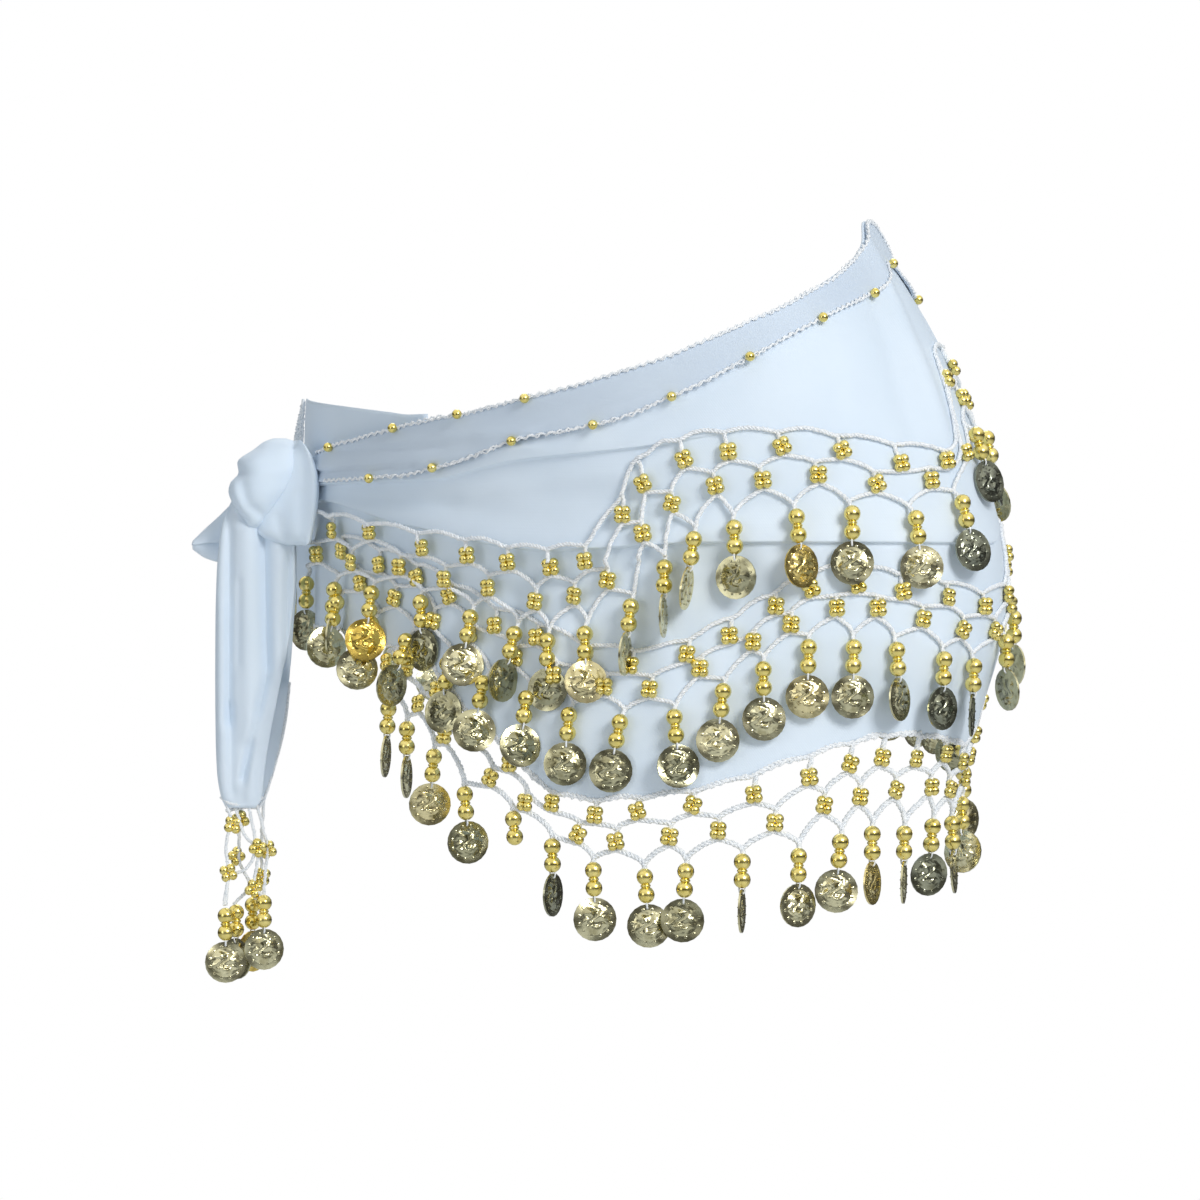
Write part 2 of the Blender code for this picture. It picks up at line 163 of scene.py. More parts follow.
# %% Read each piece's foot and head
KNOT_ANGLE = -50.0
COLUMN_STEP = 5.0
FULL_TURN = 360.0


def edge_curves(node):
    """Angles of the node's columns, with the height of each one's foot and head."""
    points = np.array([v.co[:] for v in NODES[node].data.vertices])
    centre = hip_section(points[:, 2], False)[2]
    wide, deep, _ = hip_section(points[:, 2], points[:, 1] > centre)
    angle = np.degrees(np.arctan2(points[:, 0] / wide, -(points[:, 1] - centre) / deep))
    column = np.round(((angle - KNOT_ANGLE) % FULL_TURN) / COLUMN_STEP).astype(int)
    column %= round(FULL_TURN / COLUMN_STEP)
    found = np.unique(column)
    foot = np.array([points[column == c, 2].min() for c in found])
    head = np.array([points[column == c, 2].max() for c in found])
    return KNOT_ANGLE + found * COLUMN_STEP, foot, head


def closed_curve(angles, heights):
    """A height that repeats every full turn."""
    angles = np.concatenate([angles[-3:] - FULL_TURN, angles, angles[:3] + FULL_TURN])
    heights = np.concatenate([heights[-3:], heights, heights[:3]])

    def height_at(angle):
        past_knot = (np.asarray(angle, float) - KNOT_ANGLE) % FULL_TURN
        return smooth(angles, heights, past_knot + KNOT_ANGLE)

    return height_at


wrap_angles, wrap_feet, wrap_heads = edge_curves("hip_wrap")
hem_at = closed_curve(wrap_angles, wrap_feet)
rim_at = closed_curve(wrap_angles, wrap_heads)
band_angles, band_feet, _ = edge_curves("top_band")
tier_edges = {tier: edge_curves("net_" + tier) for tier in ("upper", "middle", "hem")}
print("wrap from", round(wrap_feet.min() / MM), "to", round(wrap_heads.max() / MM), "mm")

# %% [markdown]
# ## Small helpers for meshes
#
# A sheet of cloth is a grid of points: columns round the hips, rows from foot to head.
# Solidify then gives it its thickness, inwards, so the outer side stays where it was put.
# Round forms are made ring by ring with bmesh instead, and a bridge of faces joins two
# rings. Every shape here ends as a plain smooth mesh on an object at the origin.


# %% Grids, rings and objects
def ease(share):
    share = np.clip(share, 0, 1)
    return share * share * (3 - 2 * share)


def add_object(name, mesh):
    made = bpy.data.objects.new(name, mesh)
    bpy.context.scene.collection.objects.link(made)
    return made


def smooth_object(name, mesh):
    """An object made from a finished bmesh, shaded smooth."""
    data = bpy.data.meshes.new(name)
    mesh.to_mesh(data)
    mesh.free()
    data.shade_smooth()
    return add_object(name, data)


def bridge(mesh, low, high):
    """A band of faces between two rings with as many corners each."""
    for here in range(len(low)):
        after = (here + 1) % len(low)
        mesh.faces.new((low[here], low[after], high[after], high[here]))


def grid_mesh(name, grid, closed=False):
    """A mesh over a grid of points [column][row]; closed joins the last column to the first."""
    grid = np.asarray(grid)
    columns, rows = grid.shape[:2]
    index = np.arange(columns * rows).reshape(columns, rows)
    after = np.roll(index, -1, axis=0)
    last = columns if closed else columns - 1
    near, far = index[:last], after[:last]
    quads = np.stack([near[:, :-1], far[:, :-1], far[:, 1:], near[:, 1:]], axis=-1)
    mesh = bpy.data.meshes.new(name)
    mesh.from_pydata(grid.reshape(-1, 3).tolist(), [], quads.reshape(-1, 4).tolist())
    mesh.shade_smooth()
    return mesh


def give_thickness(piece, thickness, outward_share=-1.0):
    solidify = piece.modifiers.new("cloth thickness", "SOLIDIFY")
    solidify.thickness = thickness
    solidify.offset = outward_share
    solidify.use_rim = True


def as_plain_mesh(piece):
    """Applies the piece's modifiers, so that only its mesh is left."""
    graph = bpy.context.evaluated_depsgraph_get()
    mesh = bpy.data.meshes.new_from_object(piece.evaluated_get(graph))
    piece.modifiers.clear()
    piece.data = mesh
    return piece


print("a share eased in four steps:", ease(np.linspace(0, 1, 5)))

# %% [markdown]
# A finished piece rides on the scarf's one body. It is given the slot of its material, and the frame's solids
# that it stands for are hidden. The same call serves every piece.


# %% Settle a piece on the scarf
BODY = "root"


def settle(piece, material, replaced=()):
    """Puts the finished piece on the scarf's body and hides the frame's solids that it stands for."""
    if material is not None:
        piece.data.materials.clear()
        piece.data.materials.append(material)
    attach(piece, BODY)
    if replaced:
        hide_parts(*replaced)
    print(piece.name, len(piece.data.polygons), "faces")
    return piece


print("every piece rides on the body", repr(BODY))

# %% [markdown]
# ## Finishes
#
# Every finish is a node material. Two short helpers keep them easy to read: one makes a
# material with its shader's plain values set, and the other makes a colour ramp.

# %% A shader maker and a ramp maker
def shader_of(name, **sockets):
    """A new material, its node tree's add and link functions, and its shader."""
    material = bpy.data.materials.new(name)
    material.use_nodes = True
    tree = material.node_tree
    shader = tree.nodes["Principled BSDF"]
    for socket, value in sockets.items():
        shader.inputs[socket.replace("_", " ")].default_value = value

    def add(kind, **values):
        node = tree.nodes.new(kind)
        for key, value in values.items():
            if hasattr(node, key):
                setattr(node, key, value)
            else:
                node.inputs[key.replace("_", " ")].default_value = value
        return node

    return material, add, tree.links.new, shader


def ramp_of(add, stops):
    """A colour ramp from (place, colour) pairs."""
    ramp = add("ShaderNodeValToRGB")
    while len(ramp.color_ramp.elements) < len(stops):
        ramp.color_ramp.elements.new(0.5)
    for element, (place, colour) in zip(ramp.color_ramp.elements, stops):
        element.position = place
        element.color = (*colour, 1)
    return ramp


def bump_of(add, link, height, strength, distance, under=None):
    """A bump from a height, laid over the bump under it; returns its normal."""
    made = add("ShaderNodeBump", Strength=strength, Distance=distance)
    link(height, made.inputs["Height"])
    if under is not None:
        link(under, made.inputs["Normal"])
    return made.outputs["Normal"]


print("materials so far:", len(bpy.data.materials))

# %% [markdown]
# Chiffon is a fine crepe weave. It is nearly white with a cool cast, it lets a little light
# through, and its twisted threads give it a soft sheen at grazing angles. The weave is a
# bump of two crossing waves, and a slow noise gives the faint cloudiness of thin cloth.
# The band's chiffon is a darker copy of the same chiffon: its colour is painted shade, for the shade that
# falls on the band.


# %% The chiffon
def chiffon(name, shaded, bright):
    """Chiffon whose colour drifts between two tones."""
    material, add, link, shader = shader_of(
        name,
        Roughness=0.62,
        Sheen_Weight=0.25,
        Sheen_Roughness=0.4,
        Sheen_Tint=(0.9, 0.95, 1.0, 1.0),
        Subsurface_Weight=0.12,
        Subsurface_Scale=0.004,
        Subsurface_Radius=(0.9, 1.0, 1.2),
    )
    place = add("ShaderNodeTexCoord")
    clouds = add("ShaderNodeTexNoise", Scale=18, Detail=2, Roughness=0.5)
    link(place.outputs["Object"], clouds.inputs["Vector"])
    tint = ramp_of(add, ((0.3, shaded), (0.7, bright)))
    link(clouds.outputs["Fac"], tint.inputs["Fac"])
    link(tint.outputs["Color"], shader.inputs["Base Color"])
    warp = add("ShaderNodeTexWave", bands_direction="DIAGONAL", Scale=420, Distortion=1.5, Detail=1)
    weft = add("ShaderNodeTexWave", bands_direction="Z", Scale=520, Distortion=1.5, Detail=1)
    crossing = add("ShaderNodeMath", operation="MULTIPLY")
    for wave, socket in ((warp, 0), (weft, 1)):
        link(place.outputs["Object"], wave.inputs["Vector"])
        link(wave.outputs["Fac"], crossing.inputs[socket])
    weave = bump_of(add, link, crossing.outputs[0], 0.12, 0.0002)
    ripple = add("ShaderNodeTexNoise", Scale=55, Detail=3, Roughness=0.55)
    link(place.outputs["Object"], ripple.inputs["Vector"])
    soft = bump_of(add, link, ripple.outputs["Fac"], 0.10, 0.002, weave)
    link(soft, shader.inputs["Normal"])
    return material


CLOTH = chiffon("white chiffon", (0.73, 0.83, 0.94), (0.79, 0.88, 0.98))
# The same chiffon in darker tones: painted shade for the top band.
PAINTED_SHADE_CHIFFON = chiffon("chiffon with painted shade", (0.63, 0.72, 0.84), (0.69, 0.78, 0.89))
print("made", CLOTH.name, "and", PAINTED_SHADE_CHIFFON.name)

# %% [markdown]
# The crochet yarn is a white cord with a silver thread in it. A fine noise picks small spots that are
# smoother than the rest, and also paints them brighter, up to white: painted glints of the silver thread.


# %% The crochet yarn
def silvery_yarn():
    material, add, link, shader = shader_of(
        "silver-white yarn", Sheen_Weight=0.4, Sheen_Roughness=0.5, Metallic=0.0
    )
    place = add("ShaderNodeTexCoord")
    painted_glint_specks = add("ShaderNodeTexNoise", Scale=900, Detail=2, Roughness=0.7)
    link(place.outputs["Object"], painted_glint_specks.inputs["Vector"])
    # Painted glint: the specks' colour goes up to white.
    tint = ramp_of(
        add,
        ((0.35, (0.72, 0.75, 0.79)), (0.48, (0.93, 0.95, 0.97)), (0.6, (1.0, 1.0, 1.0))),
    )
    link(painted_glint_specks.outputs["Fac"], tint.inputs["Fac"])
    link(tint.outputs["Color"], shader.inputs["Base Color"])
    gloss = ramp_of(add, ((0.4, (0.75, 0.75, 0.75)), (0.65, (0.25, 0.25, 0.25))))
    link(painted_glint_specks.outputs["Fac"], gloss.inputs["Fac"])
    link(gloss.outputs["Color"], shader.inputs["Roughness"])
    link(bump_of(add, link, painted_glint_specks.outputs["Fac"], 0.5, 0.0003), shader.inputs["Normal"])
    return material


YARN = silvery_yarn()
print("made", YARN.name)

# %% [markdown]
# The beads are plastic with a bright yellow-gold plating. It wears unevenly, so a noise
# moves both its colour and its gloss a little.


# %% The gold of the beads
def bead_gold():
    material, add, link, shader = shader_of("bright gold beads", Metallic=1.0, Roughness=0.2)
    place = add("ShaderNodeTexCoord")
    wear = add("ShaderNodeTexNoise", Scale=260, Detail=2)
    link(place.outputs["Object"], wear.inputs["Vector"])
    tint = ramp_of(add, ((0.3, (0.78, 0.63, 0.17)), (0.7, (0.92, 0.78, 0.30))))
    link(wear.outputs["Fac"], tint.inputs["Fac"])
    link(tint.outputs["Color"], shader.inputs["Base Color"])
    gloss = ramp_of(add, ((0.3, (0.16, 0.16, 0.16)), (0.7, (0.30, 0.30, 0.30))))
    link(wear.outputs["Fac"], gloss.inputs["Fac"])
    link(gloss.outputs["Color"], shader.inputs["Roughness"])
    return material


BEAD_GOLD = bead_gold()
print("made", BEAD_GOLD.name)

# %% [markdown]
# The coins are thin stamped metal, paler than the beads, and each has its own tone. The piece carries a
# number called "tone" for every coin, and the shader turns it into a colour from dark olive through pale gold
# to orange gold. Tones near 0, given to the coins turned away at the right side, are painted shade. A noise
# darkens the hollows of the small dents a little. Three bumps shape the face: the coin is bent a little, it
# has an abstract relief that fades out before the ring of dots, and it has small dents.


# %% The gold of the coins
def coin_gold():
    material, add, link, shader = shader_of("pale gold coins", Metallic=1.0, Roughness=0.24)
    tone = add("ShaderNodeAttribute", attribute_name="tone")
    # The darkest stop serves tones near 0, which are painted shade on the coins turned away at the right
    # side.
    plating_and_painted_shade = ramp_of(
        add,
        (
            (0.0, (0.26, 0.28, 0.23)),
            (0.35, (0.46, 0.44, 0.28)),
            (0.75, (0.76, 0.71, 0.46)),
            (1.0, (0.86, 0.62, 0.14)),
        ),
    )
    link(tone.outputs["Fac"], plating_and_painted_shade.inputs["Fac"])
    place = add("ShaderNodeTexCoord")
    # A noise that darkens the hollows of the small dents a little, and is also their bump.
    dent_noise = add("ShaderNodeTexNoise", Scale=300, Detail=2, Roughness=0.5)
    link(place.outputs["Object"], dent_noise.inputs["Vector"])
    darker_in_dents = ramp_of(add, ((0.32, (0.55, 0.52, 0.42)), (0.52, (1, 1, 1))))
    link(dent_noise.outputs["Fac"], darker_in_dents.inputs["Fac"])
    mix = add("ShaderNodeMix", data_type="RGBA", blend_type="MULTIPLY")
    mix.inputs["Factor"].default_value = 0.7
    link(plating_and_painted_shade.outputs["Color"], mix.inputs[6])
    link(darker_in_dents.outputs["Color"], mix.inputs[7])
    link(mix.outputs[2], shader.inputs["Base Color"])
    bow = add("ShaderNodeTexNoise", Scale=75, Detail=0)
    link(place.outputs["Object"], bow.inputs["Vector"])
    bent = bump_of(add, link, bow.outputs["Fac"], 0.6, 0.006)
    strokes = add("ShaderNodeTexNoise", Scale=4.6, Detail=0, Roughness=0.5, Distortion=1.2)
    link(place.outputs["UV"], strokes.inputs["Vector"])
    from_middle = add("ShaderNodeVectorMath", operation="DISTANCE")
    link(place.outputs["UV"], from_middle.inputs[0])
    from_middle.inputs[1].default_value = (0.5, 0.5, 0)
    inside = add("ShaderNodeMapRange", From_Min=0.36, From_Max=0.2)
    link(from_middle.outputs["Value"], inside.inputs["Value"])
    relief_height = add("ShaderNodeMath", operation="MULTIPLY")
    link(strokes.outputs["Fac"], relief_height.inputs[0])
    link(inside.outputs["Result"], relief_height.inputs[1])
    stamped = bump_of(add, link, relief_height.outputs[0], 0.9, 0.0024, bent)
    dents = bump_of(add, link, dent_noise.outputs["Fac"], 0.1, 0.0006, stamped)
    link(dents, shader.inputs["Normal"])
    return material


COIN_GOLD = coin_gold()
print("made", COIN_GOLD.name)

# %% [markdown]
# ## How the cloth falls
#
# Tying the scarf draws the cloth together at the knot, so pleats run into it from both sides and die away
# towards the back. A pleat swells slowly and then turns under at its lower edge, which is why it shows as a
# line with a shadow below it. Away from the knot the cloth only has soft folds and dents that run from the
# rim down. They are listed one by one.

# %% Where the pleats and folds are
# A pleat's rows: angle, level in mm, depth in mm.
UPPER_PLEAT = ((-50, 48, 2.4), (-30, 50.5, 3.0), (0, 51, 3.2), (15, 58, 2.8), (35, 63, 2.0),
               (58, 71, 0), (240, 52, 0), (285, 44, 2.4))
LOWER_PLEAT = ((-50, 44, 1.4), (-30, 43.7, 3.2), (-5, 32, 3.6), (20, 21, 3.6), (45, 24, 3.0),
               (100, 24, 2.0), (125, 36, 0), (240, 30, 0), (285, 38, 1.6))
# Folds and dents: from an angle and a level in mm to another, then half width and rise in mm.
FOLDS = (
    (-44, 38, -44, -14, 6, 3.2),
    (-37, 34, -38, -18, 4, -2.4),
    (-31, 32, -31, -20, 5, 3.6),
    (-24, 26, -25, -20, 4, -2.0),
    (-5, 14, -7, -42, 5, -2.2),
    (2, 10, 1, -46, 5, 1.8),
    (13, 8, 15, -52, 4, -2.2),
    (20, 6, 22, -52, 5, 2.0),
    (37, 22, 39, -45, 9, 1.8),
    (47, 20, 50, -60, 8, -1.2),
    (72, 18, 74, -50, 9, 0.9),
    (84, -12, 83, -66, 9, 2.0),
    (91, -8, 93, -62, 6, -1.4),
    (99, 150, 92, 60, 11, 2.4),
    (88, 130, 84, 66, 9, -1.4),
    (76, 112, 70, 60, 12, 0.9),
    (58, 98, 30, 66, 6, -0.9),
    (45, 86, 10, 60, 5, 0.9),
    (16, 44, 60, 38, 8, -1.0),
    (-20, 60, 20, 64, 3, 0.8),
    (-22, 58, 4, 58, 2, -0.7),
    (-26, 46, 4, 40, 4, -1.0),
    (4, 44, 34, 52, 4, 0.8),
    (120, 130, 126, 20, 12, 1.4),
    (150, 112, 152, -6, 13, 2.0),
    (168, 90, 172, 10, 10, -1.2),
    (200, 84, 200, -6, 12, 2.0),
    (222, 70, 218, 0, 9, -1.0),
    (240, 58, 276, 46, 6, 1.2),
    (250, 50, 285, 36, 4, -1.0),
    (255, 30, 290, 30, 7, 1.4),
    (287, 40, 287, -8, 8, 2.2),
    (297, 40, 297, -8, 5, -1.2),
)
print(len(FOLDS), "folds and 2 pleats")

# %% [markdown]
# The relief is how far all of these lift the cloth at a place. A pleat rises over 15 mm
# and turns under within 1 mm. A fold is a ridge with soft ends that wavers a little along
# its run. A net lies on the highest cloth near it, because it spans from fold to fold.

# %% The relief of the wrap
PLEAT_RISE = 15 * MM
PLEAT_LIP = 1.0 * MM
MM_A_DEGREE = 2.7  # how far a degree reaches round the hips


def pleat_level(rows, angle):
    places, levels, _ = np.array(rows, float).T
    return closed_curve(places, levels * MM)(angle)


def pleat(rows, angle, height):
    places, _, depths = np.array(rows, float).T
    level = pleat_level(rows, angle)
    depth = closed_curve(places, depths * MM)(angle)
    above = ease(1 - (height - level) / PLEAT_RISE)
    below = ease(1 - (level - height) / PLEAT_LIP)
    return depth * np.where(height >= level, above, below)


def fold(row, angle, height):
    start_angle, start_level, stop_angle, stop_level, half_width, rise = row
    turn = (angle - start_angle + FULL_TURN / 2) % FULL_TURN - FULL_TURN / 2
    x, y = turn * MM_A_DEGREE, height / MM - start_level
    run_x, run_y = (stop_angle - start_angle) * MM_A_DEGREE, stop_level - start_level
    length = math.hypot(run_x, run_y)
    along = (x * run_x + y * run_y) / length
    across = (x * run_y - y * run_x) / length + 0.12 * half_width * np.sin(along / 9)
    start = ease((along + half_width) / (2.5 * half_width))
    stop = ease((length - along) / (2 * half_width) + 0.5)
    return rise * MM * start * stop * np.exp(-((across / half_width) ** 2) * 1.6)


def relief(angle, height):
    """How far the pleats and folds lift the wrap."""
    angle, height = np.broadcast_arrays(np.asarray(angle, float), np.asarray(height, float))
    total = sum(fold(row, angle, height) for row in FOLDS)
    return total + pleat(UPPER_PLEAT, angle, height) + pleat(LOWER_PLEAT, angle, height)


def relief_near(angle, height, reach=6 * MM):
    """What a net lies on: it spans from fold to fold."""
    return np.max([relief(angle, height + shift) for shift in (-reach, 0, reach)], axis=0)


around = np.arange(0, FULL_TURN, 2.0)
print("the pleats lift the cloth by up to", round(float(relief(around, 48 * MM).max()) / MM, 1), "mm")

# %% [markdown]
# ## The wrap, the band and the end beneath
#
# The wrap is one closed ring of cloth. Its rows are spread evenly from hem to rim, close
# enough together to carry a pleat's edge. The band is the scarf's doubled edge, which lies
# over the wrap's upper part, and the under end is the tail of the other side: it comes up
# behind the wrap by the knot and shows its folded edge above the band.

# %% Make the wrap
CLOTH_THICKNESS = 0.7 * MM
WRAP_OUT = 2.9 * MM
BAND_OUT = 4.3 * MM
UNDER_END_OUT = 1.1 * MM


def rows_between(curves, counts):
    """Row heights for each column, evenly spread between one curve and the next."""
    rows = [
        low[:, None] + (high - low)[:, None] * np.arange(count) / count
        for low, high, count in zip(curves, curves[1:], counts)
    ]
    return np.concatenate([*rows, curves[-1][:, None]], axis=1)


def hip_sheet(name, angles, heights, out, over, closed=False):
    """A cloth grid with its rows at those heights, lifted by over(angle, height)."""
    columns = np.repeat(np.asarray(angles)[:, None], heights.shape[1], axis=1)
    points = on_hips(columns, heights, out + over(columns, heights))
    piece = add_object(name, grid_mesh(name, points, closed))
    give_thickness(piece, CLOTH_THICKNESS)
    return as_plain_mesh(piece)


def hem_wave(angle):
    """The hem isn't ruler straight: the net's weight pulls it down at each flower."""
    return hem_at(angle) - 0.6 * MM * np.abs(np.sin(np.radians(angle) * 21))


def wrap_rows(angles):
    """Rows from hem to rim that stand close together where a pleat turns under."""
    lower, upper = pleat_level(LOWER_PLEAT, angles), pleat_level(UPPER_PLEAT, angles)
    below, above = 2.0 * MM, 0.8 * MM
    pleats = [lower - below, lower + above, upper - below, upper + above]
    return rows_between([hem_wave(angles), *pleats, rim_at(angles)], (40, 9, 12, 9, 46))


turns = np.arange(0, FULL_TURN, 1.25)
wrap = hip_sheet("hip_wrap_cloth", turns, wrap_rows(turns), WRAP_OUT, relief, closed=True)
settle(wrap, CLOTH, ["hip_wrap"])

# %% [markdown]
# The band follows the rim from one side of the knot to the other. It lies on the wrap's
# folds, and its lower edge stands off a little where the tie pulls it.


# %% Make the top band
def band_foot(angle):
    return smooth(band_angles, band_feet, angle)


def band_lift(angle, height):
    """The band lies on the wrap, and its lower edge stands off a little by the knot."""
    above_foot = height - band_foot(angle)
    loose = 1.2 * MM * ease((30 - np.abs(angle + 5)) / 30) * ease(1 - above_foot / (9 * MM))
    return relief_near(angle, height) + loose


turns = np.arange(-30, 300.5, 1.0)
band_rows = rows_between([band_foot(turns), rim_at(turns)], [15])
band = hip_sheet("top_band_cloth", turns, band_rows, BAND_OUT, band_lift)
# The band gets the darker chiffon, whose colour is painted shade.
settle(band, PAINTED_SHADE_CHIFFON, ["top_band"])

# %% [markdown]
# The under end stands against the inside of the wrap. Only its upper edge and its corner
# by the knot show, so a gentle wave is all the shape that it needs.

# %% Make the under end
under_low, under_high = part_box("under_end")
under_angles, under_feet, under_heads = edge_curves("under_end")


def under_end_lift(angle, height):
    """A gentle wave that starts a little above the under end's foot."""
    risen = ease((height - under_low.z) / (30 * MM))
    return 0.8 * MM * (np.sin(np.radians(angle) * 9) * risen - 1)


turns = np.linspace(-56, -1, 50)
under_rows = rows_between([smooth(under_angles, edge, turns) for edge in (under_feet, under_heads)], [23])
under_end = hip_sheet("under_end_cloth", turns, under_rows, UNDER_END_OUT, under_end_lift)
settle(under_end, CLOTH, ["under_end"])

# %% [markdown]
# ## The knot
#
# The knot is one overhand tie. Two lobes of it show: the stretch that crosses over, round
# and bright, and the stretch beside it, which turns down to a corner. Each is cloth wound
# over cloth, so it is a closed form here, swept through its slices, with the creases that
# follow the winding pressed into it.

# %% Where the lobes and their creases are
KNOT_BEARING = math.radians(45)
KNOT_OUT = Vector((-math.sin(KNOT_BEARING), -math.cos(KNOT_BEARING), 0))
KNOT_SIDE = Vector((math.cos(KNOT_BEARING), -math.sin(KNOT_BEARING), 0))
# Slices in mm: height, inner and outer place along the bearing, middle and half width across.
OVER_LOBE = (
    (70.6, 160, 166, 15, 4),
    (69.3, 156.5, 169.5, 15, 9),
    (66, 153.5, 174, 15, 13),
    (60, 153, 181.4, 16, 16),
    (55.5, 154, 180.8, 16.5, 17),
    (51, 155.5, 184.4, 16.5, 17),
    (47.5, 157.5, 185.2, 16.5, 17),
    (42, 162, 183.3, 16.5, 16),
    (36, 166.8, 179, 17, 13),
    (32.5, 170, 177, 18, 9),
    (30.8, 172, 175.5, 18, 5),
)
SIDE_LOBE = (
    (69.5, 153, 158, 15, 4),
    (66.5, 150.5, 162, 15, 8),
    (60, 147, 165, 14.5, 11.5),
    (54, 145.4, 167, 14.5, 12.5),
    (48, 145, 170, 14.5, 13),
    (42, 145.4, 172, 15, 13),
    (36, 146.3, 173.5, 16, 12.5),
    (30, 147.4, 173, 18, 11),
    (26.5, 148.2, 168.5, 19, 9.5),
    (24.6, 148.8, 163, 20, 8),
    (23.8, 150, 160, 20, 6),
)
# Creases in mm: from one place to another (out, height), their half width and their depth.
OVER_CREASES = (
    (180, 58, 176, 42, 2.2, -1.6),
    (176, 42, 167, 34, 2.0, -1.6),
    (184, 52, 178, 36, 2.4, 1.2),
    (166, 70, 160, 50, 6, -0.7),
    (172, 66, 170, 40, 5, 0.7),
    (178, 64, 170, 67, 2.5, -0.8),
)
SIDE_CREASES = (
    (152, 66, 149.5, 28, 2.4, -0.8),
    (158, 50, 156, 25, 2.6, 0.7),
    (164, 38, 160, 25, 2.2, -0.9),
    (153, 48, 152, 26, 1.8, -0.5),
)


def by_knot(out, side, height):
    """A point outward along the knot's bearing, across it, and up (metres)."""
    return KNOT_OUT * out + KNOT_SIDE * side + Vector((0, 0, height))


print("the knot is", len(OVER_LOBE), "and", len(SIDE_LOBE), "slices, and is centred on a bearing of -45")

# %% [markdown]
# Each slice is a rounded rectangle, and the slices are joined from foot to head. The
# side lobe also comes forward at its inner side, where it is wound over the wrap.


# %% Wind the two lobes


def crease_at(rows, out, height):
    """The creases' effect at a place, in mm."""
    total = 0.0
    for out_a, high_a, out_b, high_b, half_width, rise in rows:
        run_x, run_y = out_b - out_a, high_b - high_a
        length = math.hypot(run_x, run_y)
        along = ((out - out_a) * run_x + (height - high_a) * run_y) / length
        across = ((out - out_a) * run_y - (height - high_a) * run_x) / length
        ends = ease((along + 2) / 5) * ease((length + 2 - along) / 5)
        total = total + rise * ends * np.exp(-((across / half_width) ** 2))
    return total


FULLNESS = 0.82  # under 1 a slice is fuller than an ellipse


def knot_lobe(name, slices, creases, forward=0.0, rows=44, sides=64):
    """A lobe through its slices; forward brings its inner side round over the wrap (mm)."""
    heights, inner, outer, middle, half = np.array(sorted(slices), float).T
    share = 0.5 - 0.5 * np.cos(np.linspace(0, math.pi, rows))
    z = heights[0] + share * (heights[-1] - heights[0])
    inner, outer, middle, half = (smooth(heights, row, z) for row in (inner, outer, middle, half))
    turn = np.linspace(0, 2 * math.pi, sides, endpoint=False)
    fuller = np.sign([np.cos(turn), np.sin(turn)]) * np.abs([np.cos(turn), np.sin(turn)]) ** FULLNESS
    out = ((inner + outer) / 2)[None, :] + ((outer - inner) / 2)[None, :] * fuller[0][:, None]
    side = middle[None, :] + half[None, :] * fuller[1][:, None]
    lift = crease_at(creases, out, z[None, :]) * ease(np.sin(turn) + 0.4)[:, None]
    side = side + lift + forward * (1 - (out - inner) / (outer - inner)) ** 3
    mesh = bmesh.new()
    rings = [
        [mesh.verts.new(by_knot(out[s, r] * MM, side[s, r] * MM, z[r] * MM)) for s in range(sides)]
        for r in range(rows)
    ]
    for low, high in zip(rings, rings[1:]):
        bridge(mesh, low, high)
    mesh.faces.new(rings[0])
    mesh.faces.new(rings[-1])
    bmesh.ops.recalc_face_normals(mesh, faces=mesh.faces)
    return smooth_object(name, mesh)


knot_over = knot_lobe("knot_over_cloth", OVER_LOBE, OVER_CREASES)
settle(knot_over, CLOTH, ["knot_over"])
knot_side = knot_lobe("knot_side_cloth", SIDE_LOBE, SIDE_CREASES, forward=14)
settle(knot_side, CLOTH, ["knot_side"])

# %% [markdown]
# ## The hanging end and the short end
#
# Below the knot the scarf's end falls in a doubled strip: a front layer, a fold on the
# outside, and a back layer that shows past the front one lower down. Its own weight and
# the coins pull it straight, so its creases run down it.

# %% Where the fall's edges and creases are
# Rows in mm: height, outer fold, inner edge of the front layer, inner edge of the back layer.
FALL = (
    (52, 177, 162, 160),
    (44, 183, 159, 158),
    (35, 187, 157, 156.5),
    (27, 188.6, 156, 156),
    (10, 190, 155.8, 155.5),
    (-10, 190.5, 157.5, 157),
    (-35, 190.6, 162, 159),
    (-60, 190.4, 167, 162.5),
    (-75, 189.8, 169.3, 166),
    (-86, 188, 170.5, 169),
    (-90.5, 186, 173, 171.5),
)
# Creases in mm, as for the knot.
FALL_CREASES = (
    (170, 44, 168, -32, 2.4, -3.6),
    (168, -32, 179, -80, 2.0, -3.0),
    (163, 30, 163.5, -36, 3.4, 1.8),
    (177, 34, 175.5, -62, 4.6, 2.4),
    (184.5, 44, 185, -56, 2.2, -2.8),
    (188, 0, 187.5, -70, 2.0, 1.0),
    (158.8, 20, 160, -30, 1.5, -1.6),
    (173, -50, 176, -88, 2.4, 1.4),
    (184, -44, 183.5, -86, 2.2, -1.6),
    (180, 10, 180.5, -30, 1.8, -0.9),
)
print("the fall is", FALL[0][0] - FALL[-1][0], "mm long, with", len(FALL_CREASES), "creases")

# %% [markdown]
# Seen from above the fall is a flat loop: the front layer, the round outer fold, and the
# back layer. One such line is worked out for each level, and the lines make a grid.

# %% Hang the fall
FALL_SIDE = 18.5
FALL_DEPTH = 9.0


